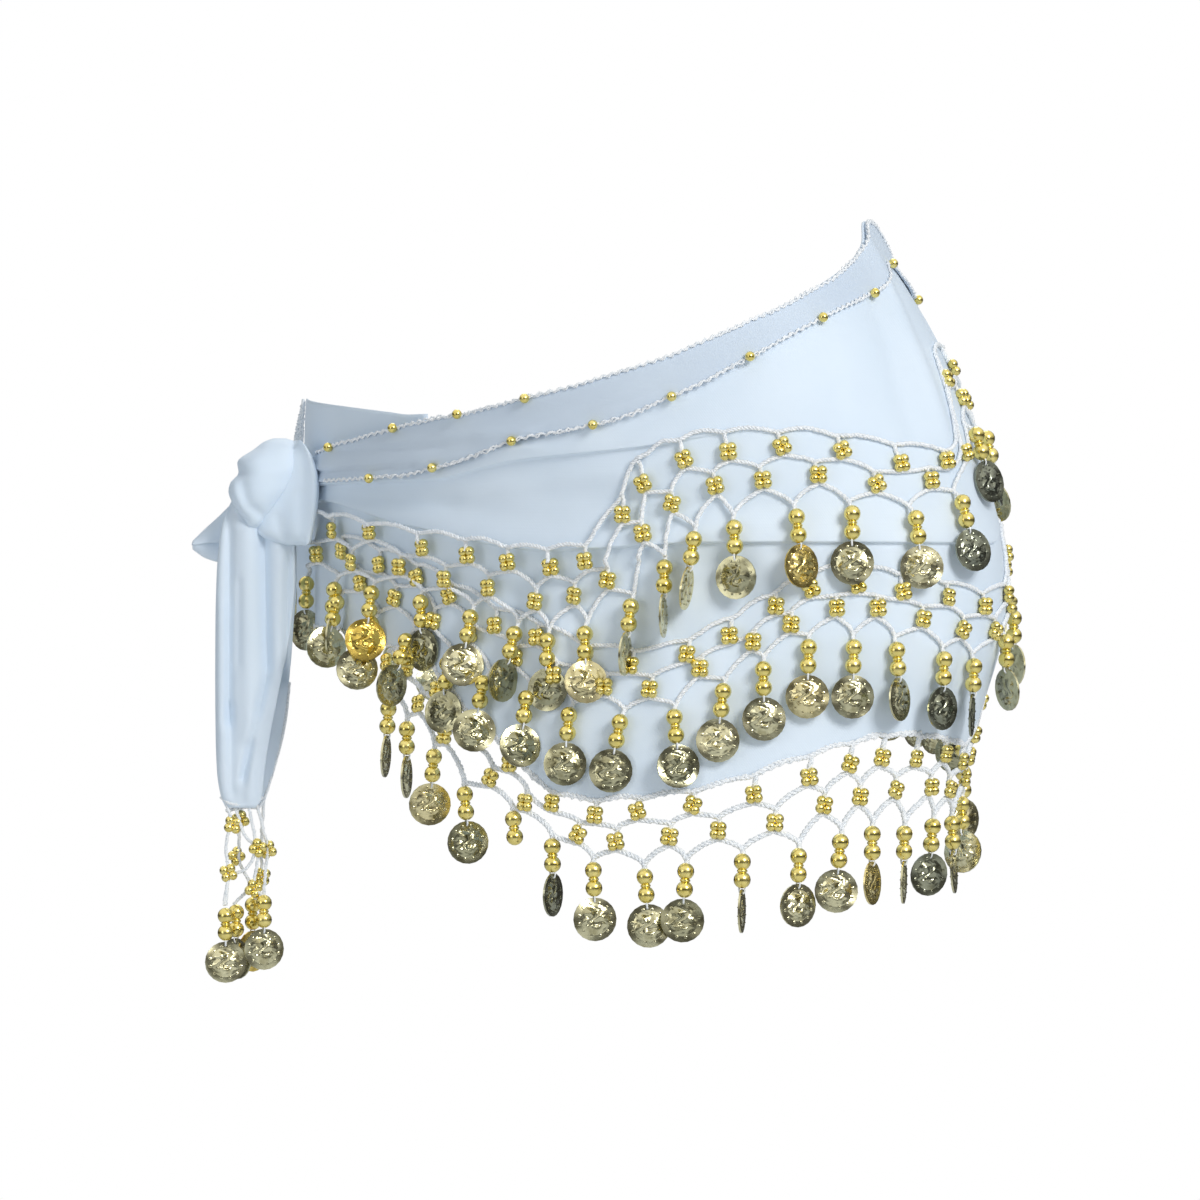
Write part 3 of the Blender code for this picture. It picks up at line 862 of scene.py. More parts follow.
def fall_line(outer_fold, front_edge, back_edge, count=46):
    """The doubled fall seen from above: (out, side) points from front edge to back edge."""
    half = FALL_DEPTH / 2
    fold_centre = outer_fold - half
    share = np.linspace(0, 1, count)
    front = np.stack([front_edge + share * (fold_centre - front_edge), half + 0 * share], axis=1)
    turn = np.linspace(math.pi / 2, 3 * math.pi / 2, 16)[1:-1]
    round_fold = np.stack([fold_centre - half * np.cos(turn), half * np.sin(turn)], axis=1)
    back_out = back_edge + (1 - share) * (fold_centre - back_edge)
    back = np.stack([back_out, -half + 0 * share], axis=1)
    return np.concatenate([front, round_fold, back])


def fall_grid(rows, count=90):
    heights, outer, front, back = np.array(sorted(rows), float).T
    z = np.linspace(heights[0], heights[-1], count)
    outer, front, back = (smooth(heights, row, z) for row in (outer, front, back))
    grid = []
    for level, o, f, b in zip(z, outer, front, back):
        line = fall_line(o, f, b)
        layer = np.sign(line[:, 1]) * ease(np.abs(line[:, 1]) / 3)
        side = FALL_SIDE + line[:, 1] + layer * crease_at(FALL_CREASES, line[:, 0], level)
        grid.append([by_knot(x * MM, s * MM, level * MM)[:] for x, s in zip(line[:, 0], side)])
    return np.array(grid)


hanging_end = add_object("hanging_end_cloth", grid_mesh("hanging_end_cloth", fall_grid(FALL)))
give_thickness(hanging_end, CLOTH_THICKNESS, 0.0)
settle(as_plain_mesh(hanging_end), CLOTH, ["hanging_end"])

# %% [markdown]
# The short end is the other tail's tip, folded lengthwise and poking out behind the fall.
# Its section is a sideways V that narrows to the tip.

# %% Fold the short end
# Rows in mm: place along the bearing, heights of the upper edge, the fold and the lower edge.
SHORT_END = (
    (180, 46, 27, 15),
    (185, 42, 26, 16.5),
    (190, 37, 25.5, 16.8),
    (196, 31.5, 25, 18.5),
    (201.8, 25.8, 24, 22.4),
)
SHORT_END_SIDE = 2.0


def short_end_grid(count=30):
    outs, upper, crease, lower = np.array(SHORT_END, float).T
    places = np.linspace(outs[0], outs[-1], count)
    upper, crease, lower = (smooth(outs, row, places) for row in (upper, crease, lower))
    grid = []
    for out, high, mid, low in zip(places, upper, crease, lower):
        share = np.linspace(0, 1, 12)
        depth = min((places[-1] - out) / 14, 1)
        up = [(5.5 * math.sin(s * math.pi / 2), high + s * (mid - high)) for s in share]
        tucked = 5.5 - 4.5 * depth
        start = mid + 0.8
        bulge = 1.5 * depth
        down = [
            (tucked * (1 - s * s) + bulge * math.sin(s * math.pi), start + s * (low - start))
            for s in share
        ]
        grid.append([by_knot(out * MM, (SHORT_END_SIDE + s) * MM, z * MM)[:] for s, z in up + down])
    return np.array(grid)


short_end = add_object("short_end_cloth", grid_mesh("short_end_cloth", short_end_grid()))
give_thickness(short_end, CLOTH_THICKNESS, 0.0)
settle(as_plain_mesh(short_end), CLOTH, ["short_end"])

# %% [markdown]
# ## Crochet cord, by Geometry Nodes
#
# What repeats or follows a path is made by Geometry Nodes, in trees built here in the
# script. A small class keeps that short: it names a tree's inputs, adds a node with its
# links in one call, and ends each tree in real geometry with a material on it.


# %% A tree maker
class NodeTree:
    """A geometry node tree with named inputs, and short calls to add and join nodes."""

    def __init__(self, title, inputs):
        self.tree = bpy.data.node_groups.new(title, "GeometryNodeTree")
        sockets = self.tree.interface
        sockets.new_socket("Geometry", in_out="INPUT", socket_type="NodeSocketGeometry")
        for name, kind in inputs.items():
            sockets.new_socket(name, in_out="INPUT", socket_type="NodeSocket" + kind)
        sockets.new_socket("Geometry", in_out="OUTPUT", socket_type="NodeSocketGeometry")
        self.given = self.add("NodeGroupInput").outputs
        self.result = self.add("NodeGroupOutput").inputs["Geometry"]

    def add(self, kind, settings=None, **links):
        """A node with its settings; a link is a value or another node's output."""
        node = self.tree.nodes.new(kind)
        for key, value in (settings or {}).items():
            setattr(node, key, value)
        for key, value in links.items():
            which = int(key[1:]) if key[1:].isdigit() else key.replace("_", " ")
            socket = node.inputs[which]
            if isinstance(value, bpy.types.NodeSocket):
                self.tree.links.new(value, socket)
            else:
                socket.default_value = value
        return node

    def math(self, operation, *values):
        links = {f"i{n}": v for n, v in enumerate(values)}
        return self.add("ShaderNodeMath", {"operation": operation}, **links).outputs[0]

    def vector(self, operation, *values, scale=None):
        links = {f"i{n}": v for n, v in enumerate(values)}
        if scale is not None:
            links["Scale"] = scale
        return self.add("ShaderNodeVectorMath", {"operation": operation}, **links).outputs[0]

    def finish(self, geometry):
        """Every tree ends in real geometry with a material."""
        real = self.add("GeometryNodeRealizeInstances", Geometry=geometry).outputs[0]
        coated = self.add("GeometryNodeSetMaterial", Geometry=real, Material=self.given["Material"])
        self.tree.links.new(coated.outputs[0], self.result)
        return self.tree


print("trees so far:", len(bpy.data.node_groups))

# %% [markdown]
# Crochet cord is yarn twisted on itself. The tree takes any route of edges, spaces points
# evenly along it, winds three strands round it and gives each a round section. A little
# noise roughens the strands. One tree serves every cord, with its sizes as named inputs.


# %% The cord tree
def cord_tree(strands=3):
    sizes = {name: "Float" for name in ("Spacing", "Twist", "Winding", "Strand", "Fuzz")}
    made = NodeTree("crochet cord", {"Material": "Material", **sizes})
    given = made.given
    route = made.add("GeometryNodeMeshToCurve", Mesh=given["Geometry"]).outputs[0]
    by_length = {"mode": "LENGTH"}
    spaced = made.add("GeometryNodeResampleCurve", by_length, Curve=route, Length=given["Spacing"])
    even = spaced.outputs[0]
    length = made.add("GeometryNodeSplineParameter").outputs["Length"]
    normal = made.add("GeometryNodeInputNormal").outputs[0]
    tangent = made.add("GeometryNodeInputTangent").outputs[0]
    across = made.vector("CROSS_PRODUCT", tangent, normal)
    place = made.add("GeometryNodeInputPosition").outputs[0]
    noise = made.add("ShaderNodeTexNoise", Vector=place, Scale=700.0, Detail=1.0).outputs["Color"]
    stray = made.vector("SCALE", made.vector("SUBTRACT", noise, (0.5, 0.5, 0.5)), scale=given["Fuzz"])
    circle = made.add("GeometryNodeCurvePrimitiveCircle", Resolution=5, Radius=given["Strand"])
    joined = made.add("GeometryNodeJoinGeometry")
    turns = made.math("MULTIPLY", made.math("DIVIDE", length, given["Twist"]), 2 * math.pi)
    for strand in range(strands):
        turn = made.math("ADD", turns, 2 * math.pi * strand / strands)
        out_a, out_b = (
            made.math("MULTIPLY", made.math(wave, turn), given["Winding"]) for wave in ("COSINE", "SINE")
        )
        off_a = made.vector("SCALE", normal, scale=out_a)
        off_b = made.vector("SCALE", across, scale=out_b)
        offset = made.vector("ADD", made.vector("ADD", off_a, off_b), stray)
        moved = made.add("GeometryNodeSetPosition", Geometry=even, Offset=offset).outputs[0]
        section = {"Profile_Curve": circle.outputs[0], "Fill_Caps": True}
        tube = made.add("GeometryNodeCurveToMesh", Curve=moved, **section)
        made.tree.links.new(tube.outputs[0], joined.inputs[0])
    soft = made.add("GeometryNodeSetShadeSmooth", Geometry=joined.outputs[0]).outputs[0]
    return made.finish(soft)


CORD_TREE = cord_tree()
print("the cord tree has", len(CORD_TREE.nodes), "nodes")

# %% [markdown]
# To use a tree, a mesh gets it as a modifier, the modifier's inputs are set by identifier,
# and the result is taken as a plain mesh. A cord only needs its routes as loose edges. Its
# strands' size, twist and winding all follow from the cord's thickness.


# %% Run a tree, and make cords along routes
def run_tree(piece, tree, values):
    """Gives the object the tree as a modifier, sets its inputs by identifier and applies it."""
    modifier = piece.modifiers.new(tree.name, "NODES")
    modifier.node_group = tree
    for item in tree.interface.items_tree:
        if item.in_out == "INPUT" and item.name in values:
            modifier[item.identifier] = values[item.name]
    bpy.context.view_layer.update()
    return as_plain_mesh(piece)


def cords(name, routes, thickness=1.7 * MM, spacing=0.9 * MM, fuzz=1.0 * MM):
    """Twisted cords along the routes, which are lists of points."""
    points, edges = [], []
    for route in routes:
        start = len(points)
        points.extend(tuple(p) for p in route)
        edges.extend((i, i + 1) for i in range(start, len(points) - 1))
    mesh = bpy.data.meshes.new(name)
    mesh.from_pydata(points, edges, [])
    piece = add_object(name, mesh)
    total = sum(math.dist(points[i], points[j]) for i, j in edges)
    print(name, "is", round(total, 2), "m of cord, in", len(routes), "routes")
    sizes = {"Spacing": spacing, "Fuzz": fuzz}
    for size, share in (("Twist", 2.3), ("Winding", 0.27), ("Strand", 0.24)):
        sizes[size] = share * thickness
    return run_tree(piece, CORD_TREE, {"Material": YARN, **sizes})


print("a plain cord is", round(cords.__defaults__[0] / MM, 1), "mm thick")


# %% [markdown]
# ## Beads and coins, by Geometry Nodes
#
# The net carries little flowers of four beads. Each hanging string has two large beads with
# a flat one between them, and a stamped coin. One of each is modelled here and repeated
# over a hundred times, so each has only a few dozen faces a bead. A string's beads and its
# coin stand at fixed distances below the hook that it hangs from.

# %% Model one flower, one string of beads and one edging bead
SMALL_BEAD, LARGE_BEAD, SPACER_BEAD, EDGE_BEAD = 2.15 * MM, 3.55 * MM, 2.2 * MM, 2.1 * MM  # radii
FLOWER_STEP = 1.57 * MM  # from a flower's middle to each of its beads, across and up
UPPER_BEAD_AT, SPACER_AT, LOWER_BEAD_AT = -3.5 * MM, -7.2 * MM, -10.9 * MM


def balls(name, places, segments=10, rings=7):
    """Round beads: (centre, radius, height share) for each."""
    mesh = bmesh.new()
    counts = {"u_segments": segments, "v_segments": rings}
    for centre, radius, tall in places:
        shape = Matrix.Translation(centre) @ Matrix.Diagonal((1, 1, tall, 1))
        bmesh.ops.create_uvsphere(mesh, radius=radius, matrix=shape, **counts)
    return smooth_object(name, mesh)


corners = [Vector((x * FLOWER_STEP, 0, z * FLOWER_STEP)) for x in (-1, 1) for z in (-1, 1)]
flower_bead = balls("one flower", [(corner, SMALL_BEAD, 1) for corner in corners], 8, 6)
on_the_string = [
    (Vector((0, 0, at)), radius, tall)
    for at, radius, tall in (
        (UPPER_BEAD_AT, LARGE_BEAD, 1),
        (SPACER_AT, SPACER_BEAD, 0.5),
        (LOWER_BEAD_AT, LARGE_BEAD, 1),
    )
]
string_beads = balls("one string of beads", on_the_string, 12, 8)
edge_bead = balls("one edging bead", [(Vector((0, 0, 0)), EDGE_BEAD, 1)])
for one in (flower_bead, string_beads, edge_bead):
    print(one.name, "has", len(one.data.polygons), "faces")

# %% [markdown]
# A coin is stamped from thin sheet. Its middle is dented, its rim is thinner than its
# middle, and a ring of dots stands on each side. The dots are small cones, sunk a little
# into the face. The coin has a flat map of its face, which its relief follows.

# %% Model one coin
# The coin's section, from its middle to its edge: distance out and half thickness in mm.
COIN_RADIUS = 9 * MM
COIN_AT = -23.7 * MM
DOT_FOOT = 0.65 * MM
COIN_SECTION = ((0.0, 0.50), (3.6, 0.50), (8.3, 0.45), (9.0, 0.40))
DOTS = 12
DOT_RING, DOT_RADIUS, DOT_HEIGHT = 6.9 * MM, 1.0 * MM, 0.7 * MM


def coin(segments=20):
    """A stamped coin: a dented middle inside a ring of dots, alike on both sides."""
    mesh = bmesh.new()
    flat_place = mesh.loops.layers.uv.new("flat place")
    rims = []
    for side in (-1, 1):
        middle = mesh.verts.new((0, side * COIN_SECTION[0][1] * MM, COIN_AT))
        rings = []
        for number, (radius, half) in enumerate(COIN_SECTION[1:], 1):
            ring = []
            for step in range(segments):
                turn = 2 * math.pi * step / segments
                dent = 0.25 * math.sin(3 * turn + side) * math.cos(turn) if number == 1 else 0.0
                x, y, z = radius * math.cos(turn), side * (half + dent), radius * math.sin(turn)
                ring.append(mesh.verts.new((x * MM, y * MM, COIN_AT + z * MM)))
            rings.append(ring)
        for step in range(segments):
            mesh.faces.new((middle, rings[0][step], rings[0][(step + 1) % segments]))
        for near, far in zip(rings, rings[1:]):
            bridge(mesh, near, far)
        rims.append(rings[-1])
    bridge(mesh, *rims)
    bmesh.ops.recalc_face_normals(mesh, faces=mesh.faces)
    for side in (-1, 1):
        for dot in range(DOTS):
            turn = 2 * math.pi * (dot + 0.5) / DOTS
            foot = (DOT_RING * math.cos(turn), side * DOT_FOOT, COIN_AT + DOT_RING * math.sin(turn))
            stand = Matrix.Translation(foot) @ Matrix.Rotation(-side * math.pi / 2, 4, "X")
            cone = {"radius1": DOT_RADIUS, "radius2": 0, "depth": DOT_HEIGHT, "matrix": stand}
            bmesh.ops.create_cone(mesh, segments=5, **cone)
    for face in mesh.faces:
        for corner in face.loops:
            x, z = corner.vert.co.x, corner.vert.co.z - COIN_AT
            corner[flat_place].uv = (0.5 + x / (2 * COIN_RADIUS), 0.5 + z / (2 * COIN_RADIUS))
    made = smooth_object("one coin", mesh)
    made.data.set_sharp_from_angle(angle=math.radians(50))
    return made


one_coin = coin()
print("one coin has", len(one_coin.data.polygons), "faces, with", DOTS, "dots on each side")

# %% [markdown]
# A loop of thread through the coin's hole ties it on below the lower bead.


# %% Model one loop of thread
def thread_loop():
    """The thread that ties a coin on: a small ring through its hole."""
    mesh = bmesh.new()
    steps, sides = 10, 4
    rings = []
    for step in range(steps):
        turn = 2 * math.pi * step / steps
        centre = Vector((0, 1.25 * math.cos(turn), 2.0 * math.sin(turn))) * MM
        away = Vector((0, math.cos(turn), math.sin(turn)))
        ring = []
        for side in range(sides):
            around = 2 * math.pi * side / sides
            offset = (away * math.cos(around) + Vector((1, 0, 0)) * math.sin(around)) * 0.42 * MM
            ring.append(mesh.verts.new(centre + offset + Vector((0, 0, COIN_AT + COIN_RADIUS))))
        rings.append(ring)
    for near, far in zip(rings, rings[1:] + rings[:1]):
        bridge(mesh, near, far)
    bmesh.ops.recalc_face_normals(mesh, faces=mesh.faces)
    return smooth_object("one thread loop", mesh)


one_loop = thread_loop()
print("one loop has", len(one_loop.data.polygons), "faces")
# %% [markdown]
# The second tree sets a copy of one object on every point of a mesh. Each point carries
# three numbers of its own: how its copy is turned, its size, and the tone of its metal.


# %% The tree that sets a copy on every point
def copies_tree():
    made = NodeTree("copies on points", {"Material": "Material", "Copy": "Object"})
    original = made.add("GeometryNodeObjectInfo", Object=made.given["Copy"], As_Instance=True)
    numbers = {}
    for label, kind in (("turn", "FLOAT_VECTOR"), ("size", "FLOAT")):
        node = made.add("GeometryNodeInputNamedAttribute", {"data_type": kind}, Name=label)
        numbers[label] = node.outputs[0]
    placed = made.add(
        "GeometryNodeInstanceOnPoints",
        Points=made.given["Geometry"],
        Instance=original.outputs["Geometry"],
        Rotation=numbers["turn"],
        Scale=numbers["size"],
    )
    return made.finish(placed.outputs[0])


COPIES_TREE = copies_tree()


def set_copies(name, original, material, places):
    """Copies of the original at places: (point, turn as Euler angles, size, tone)."""
    mesh = bpy.data.meshes.new(name)
    mesh.from_pydata([tuple(point) for point, _, _, _ in places], [], [])
    turns_of = np.array([tuple(turn) for _, turn, _, _ in places], np.float32)
    mesh.attributes.new("turn", "FLOAT_VECTOR", "POINT").data.foreach_set("vector", turns_of.ravel())
    for label, column in (("size", 2), ("tone", 3)):
        numbers = mesh.attributes.new(label, "FLOAT", "POINT")
        numbers.data.foreach_set("value", np.array([row[column] for row in places], np.float32))
    piece = add_object(name, mesh)
    return run_tree(piece, COPIES_TREE, {"Material": material, "Copy": original})


print("the copies tree has", len(COPIES_TREE.nodes), "nodes")

# %% [markdown]
# ## Laying out a tier of net
#
# The net is a honeycomb that hangs from its upper cord. Columns stand an even way apart
# round the hips. In each there is a flower just under the cord, the next row's flowers
# stand between the columns, and the strings hang from under the first. Arcs of cord join
# them, flat where they leave a flower and steep where they reach the next.

# %% Columns, directions and arcs
FLOWER_HALF = 3.6 * MM
FLOWER_OUT = 1.4 * MM
STUB = 1.6 * MM


def columns_every(start, stop, pitches):
    """Angles from start to stop that are a pitch (mm, by angle) apart along the hips."""
    places, steps = np.array(pitches, float).T
    angles = [start]
    while angles[-1] < stop:
        angle = angles[-1]
        near = on_hips(np.array([angle, angle + 1]), 0.0, 0.0)
        a_degree = np.linalg.norm(near[1] - near[0])
        angles.append(angle + smooth(places, steps, angle) * MM / a_degree)
    return np.array(angles[:-1])


def bearing_out(angle, height):
    """The compass bearing (0 ahead, 90 to the left) in which the hips face there."""
    away = outward(np.array(float(angle)), np.array(float(height)))
    return math.degrees(math.atan2(away[0], -away[1]))


def up_the_hips(angle, height):
    """The direction straight up the hips' surface there."""
    low, high = (on_hips(angle, height + step, 0.0) for step in (-3 * MM, 3 * MM))
    return Vector(high - low).normalized()


def facing(bearing, up=(0, 0, 1), spin=0.0):
    """Euler angles that face a copy to a bearing, stand it along up, and spin it flat."""
    turn = math.radians(bearing)
    up = Vector(up)
    right = up.cross(Vector((math.sin(turn), -math.cos(turn), 0))).normalized()
    basis = Matrix((right, up.cross(right), up)).transposed()
    return (basis @ Matrix.Rotation(spin, 3, "Y")).to_euler()


def arc(start, stop, net_out, count=10):
    """A slack arc of cord from one (angle, height) to another, steep at its far end."""
    share = np.linspace(0, 1, count)
    run = 0.65 * np.sin(share * math.pi / 2) + 0.35 * share
    angle = start[0] + (stop[0] - start[0]) * run
    height = start[1] + (stop[1] - start[1]) * share**1.15
    return on_hips(angle, height, net_out(angle, height))


print("at the front the hips face", round(bearing_out(0, 0)), "and at their left", round(bearing_out(90, 0)))

# %% [markdown]
# A tier is laid out column by column. First come the flowers, then the arcs between them.
# Crochet is never quite regular, so every flower and hook is moved a little by chance. The
# chance numbers come from one generator with a fixed seed, so each run gives the same net.


# %% Lay out one tier's flowers and cords
def lay_tier(tier, columns, net_out, dice):
    """The tier's flowers and cords, and the hook that each string hangs from."""
    angles, feet, heads = tier_edges[tier]
    routes, flowers = [], []
    step = np.linspace(columns[0], columns[-1], 10 * len(columns))
    phase = np.interp(step, columns, np.arange(len(columns)))
    edge = smooth(angles, heads, step) + 2.0 * MM * np.abs(np.sin(math.pi * phase)) - 1.0 * MM
    routes.append(on_hips(step, edge, net_out(step, edge)))

    def flower(angle, share):
        angle = float(angle + dice.normal(0, 0.5))
        head, foot = smooth(angles, heads, angle), smooth(angles, feet, angle)
        height = float(head - share * (head - foot) + dice.normal(0, 0.8 * MM))
        bearing = bearing_out(angle, height) + dice.normal(0, 9)
        place = on_hips(angle, height, net_out(angle, height) + FLOWER_OUT)
        turn = facing(bearing, up_the_hips(angle, height), dice.normal(0, 0.2))
        flowers.append((place, turn, 1.0, 0.5))
        return angle, height

    first = [flower(angle, 0.24) for angle in columns]
    second = [flower((near + far) / 2, 0.63) for near, far in zip(columns, columns[1:])]
    hooks = []
    for angle in columns:
        aside = dice.normal(0, 0.4)
        hooks.append((angle + aside, float(smooth(angles, feet, angle)) + dice.normal(0, 0.8 * MM)))
    for i, (angle, height) in enumerate(first):
        edge_at = float(smooth(angles, heads, angle)) - 1.0 * MM
        routes.append(arc((angle, edge_at), (angle, height + FLOWER_HALF / 2), net_out, 4))
        for aside, level in second[max(i - 1, 0) : i + 1]:
            top = (aside, level + FLOWER_HALF + STUB)
            routes.append(arc((angle, height - FLOWER_HALF), top, net_out))
    for i, (angle, height) in enumerate(second):
        top = (angle, height + FLOWER_HALF + STUB)
        routes.append(arc(top, (angle, height + FLOWER_HALF / 2), net_out, 3))
        for aside, level in (hooks[i], hooks[i + 1]):
            routes.append(arc((angle, height - FLOWER_HALF), (aside, level + STUB), net_out))
    return routes, flowers, hooks


print("the stubs of cord over hooks and flowers are", round(STUB / MM, 1), "mm long")

# %% [markdown]
# A string hangs straight down from its hook. A coin hangs by one loop, so it can face any
# way. Where a string lies on cloth, its hook stands off far enough for the upper bead, and
# the string leans out just far enough for the lower bead and the coin to clear the cloth.


# %% Hang one tier's strings and coins
VIEW_FACING = 45.0
BEAD_GAP = LARGE_BEAD + 0.1 * MM
HOOK_OUT = 1.6 * MM  # a hook on cloth stands this much further out than its net


def cloth_past(hook, away, angle, level, gap):
    """How far past the hook the cloth reaches at a level, with a gap added."""
    place = on_hips(angle, level, WRAP_OUT + relief_near(angle, level) + gap)
    return float((place - hook) @ away)


def hang_strings(hooks, net_out, rests, coin_turns, dice):
    """Strings and coins on the hooks; coin_turns gives the first coins' turns and tones."""
    routes, strings, coins = [], [], []
    for i, (angle, height) in enumerate(hooks):
        square = bearing_out(angle, height)
        bearing = square + dice.normal(0, 28)
        tone = float(np.clip(dice.normal(0.5, 0.18), 0, 1))
        if i < len(coin_turns):
            turn, tone = coin_turns[i]
            bearing = VIEW_FACING + turn
        away = outward(np.array(angle), np.array(height))
        hook = on_hips(angle, height, net_out(angle, height) + (HOOK_OUT if rests else 0.0))
        lean = dice.normal(0, 0.04)
        if rests:
            too_near = cloth_past(hook, away, angle, height + UPPER_BEAD_AT, BEAD_GAP)
            hook = hook + away * max(too_near, 0.0)
            coin_gap = 1.2 * MM + 8.0 * MM * abs(math.sin(math.radians(bearing - square)))
            lean = 0.0
            for below, gap in ((LOWER_BEAD_AT, BEAD_GAP), (COIN_AT, coin_gap)):
                past = cloth_past(hook, away, angle, height + below, gap)
                lean = max(lean, math.atan2(past, -below))
        sideways = Vector(away).cross(Vector((0, 0, 1))) * math.tan(dice.normal(0, 0.07))
        up = (Vector((0, 0, 1)) - Vector(away) * math.tan(lean) + sideways).normalized()
        strings.append((hook, facing(square, up), 1.0, 0.5))
        if tone is not None:
            coins.append((hook, facing(bearing, up), 1.0, tone))
        above = on_hips(angle, height + STUB, net_out(angle, height))
        routes.append(np.array([above, hook - [0, 0, 0.5 * LARGE_BEAD]]))
    return routes, strings, coins


print("a bead's middle stays", round(BEAD_GAP / MM, 2), "mm off the cloth under it")

# %% [markdown]
# With both parts at hand, one call makes a whole tier: its cords, its flowers, its strings
# of beads, its coins and their loops, each as one piece.


# %% Make one tier
def make_tier(tier, start, stop, pitches, net_out, rests, coin_turns, thickness, seed):
    """A tier's cords, flowers, strings and coins, between two angles round the hips."""
    dice = np.random.default_rng(seed)
    columns = columns_every(start, stop, pitches)
    routes, flowers, hooks = lay_tier(tier, columns, net_out, dice)
    more, strings, coins = hang_strings(hooks, net_out, rests, coin_turns, dice)
    made = [
        settle(cords(tier + "_net_cords", routes + more, thickness), None, ["net_" + tier]),
        settle(set_copies(tier + "_net_flowers", flower_bead, BEAD_GOLD, flowers), None),
        settle(set_copies(tier + "_string_beads", string_beads, BEAD_GOLD, strings), None),
        settle(set_copies(tier + "_coins", one_coin, COIN_GOLD, coins), None, ["coins_" + tier]),
        settle(set_copies(tier + "_coin_threads", one_loop, YARN, coins), None),
    ]
    print(tier, "tier:", len(flowers), "flowers,", len(strings), "strings,", len(coins), "coins")
    return made


print("tiers that the frame has:", list(tier_edges))

# %% [markdown]
# The middle tier lies on the cloth, the upper one over it where they meet by the knot, and the hem tier hangs
# free from the hem, so it shows the light through its cells. The pitch is closer where the net is drawn
# together. The coins that matter to the look of the front are turned one by one: some are face on, some edge
# on, and the plating's tone varies. The last coins listed for each tier, turned away at the right side, are
# given tones near 0 as painted shade. One string of the hem tier has lost its coin.

# %% How far apart the columns are, and how the coins are turned
# Degrees that each coin is turned from facing the front left, and its tone.
# The last coins of each list, at the right side, have tones near 0: painted shade.
UPPER_TURNS = ((-40, 0.5), (80, 0.6), (15, 1.0), (-45, 0.3), (5, 0.75), (50, 0.35), (-25, 0.3), (5, 0.8),
               (75, 0.75), (80, 0.7), (74, 0.8), (-25, 0.35), (40, 0.92), (-10, 0.5), (0, 0.72), (35, 0.06),
               (48, 0.04), (80, 0.0))
MIDDLE_TURNS = ((20, 0.5), (10, 0.6), (50, 0.4), (-30, 0.35), (5, 0.5), (20, 0.35), (-10, 0.4), (-5, 0.4),
                (15, 0.3), (-5, 0.75), (5, 0.6), (0, 0.8), (10, 0.5), (60, 0.5), (45, 0.1), (80, 0.08))
HEM_TURNS = ((80, 0.7), (78, 0.7), (15, 0.8), (20, 0.35), (0, None), (65, 0.2), (10, 0.55), (-5, 0.6),
             (-5, 0.4), (80, 0.7), (35, 0.7), (5, 0.6), (65, 0.85), (80, 0.7), (30, 0.15))
# Pitches: the angle, and the mm from a column there to the next.
UPPER_PITCHES = ((-33, 30), (-12, 34), (0, 25), (12, 20), (22, 17), (36, 15), (45, 22), (75, 26), (300, 26))
MIDDLE_PITCHES = ((-22, 28), (5, 23), (30, 23), (40, 18), (46, 14.5), (56, 18), (68, 18), (80, 24), (300, 26))
HEM_PITCHES = ((-10, 15), (-2, 19), (4, 25), (20, 22), (40, 22), (50, 25), (62, 20), (72, 15.5), (82, 19),
               (300, 22))
print("coins turned by hand:", len(UPPER_TURNS), len(MIDDLE_TURNS), len(HEM_TURNS))

# %% [markdown]
# Each tier has its own distance out. The middle one lies on the relief of the cloth. The
# upper one stands off over the middle one near the knot, where the two meet. The hem tier
# leaves the cloth at the hem and hangs on down from there.


# %% Make the three tiers
def middle_out(angle, height):
    return WRAP_OUT + 1.0 * MM + relief_near(angle, height)


def upper_out(angle, height):
    off_knot = np.minimum((angle - KNOT_ANGLE) % FULL_TURN, (KNOT_ANGLE - angle) % FULL_TURN)
    return middle_out(angle, height) + 2.6 * MM * ease((85 - off_knot) / 30)


def hem_out(angle, height):
    near_hem = ease((height - hem_at(angle) + 12 * MM) / (12 * MM))
    return 2.4 * MM + relief(angle, np.maximum(height, hem_at(angle))) * near_hem


upper_tier = make_tier("upper", -33.5, 300, UPPER_PITCHES, upper_out, True, UPPER_TURNS, 2.1 * MM, 3)
middle_tier = make_tier("middle", -22, 282, MIDDLE_PITCHES, middle_out, True, MIDDLE_TURNS, 2.1 * MM, 5)
hem_tier = make_tier("hem", -9.5, 262, HEM_PITCHES, hem_out, False, HEM_TURNS, 2.5 * MM, 8)

# %% [markdown]
# ## The net and coins on the hanging end
#
# The fall ends in the same net, bunched up. Its few flowers, cords and strings are placed one by one round
# the fall's foot. All are in mm: out along the knot's bearing, across, and up.

# %% Where the net on the fall's foot is
# Flowers have a spin in radians after their place.
END_FLOWERS = ((183, 21, -98, 0.2), (180, 17, -96, -0.5), (172, 23, -108, 0.6), (168, 18, -109, -0.4),
               (185, 21, -119, -0.3), (174, 20, -126, 0.5), (182, 14, -112, 0.9), (171, 13, -121, 0.2))
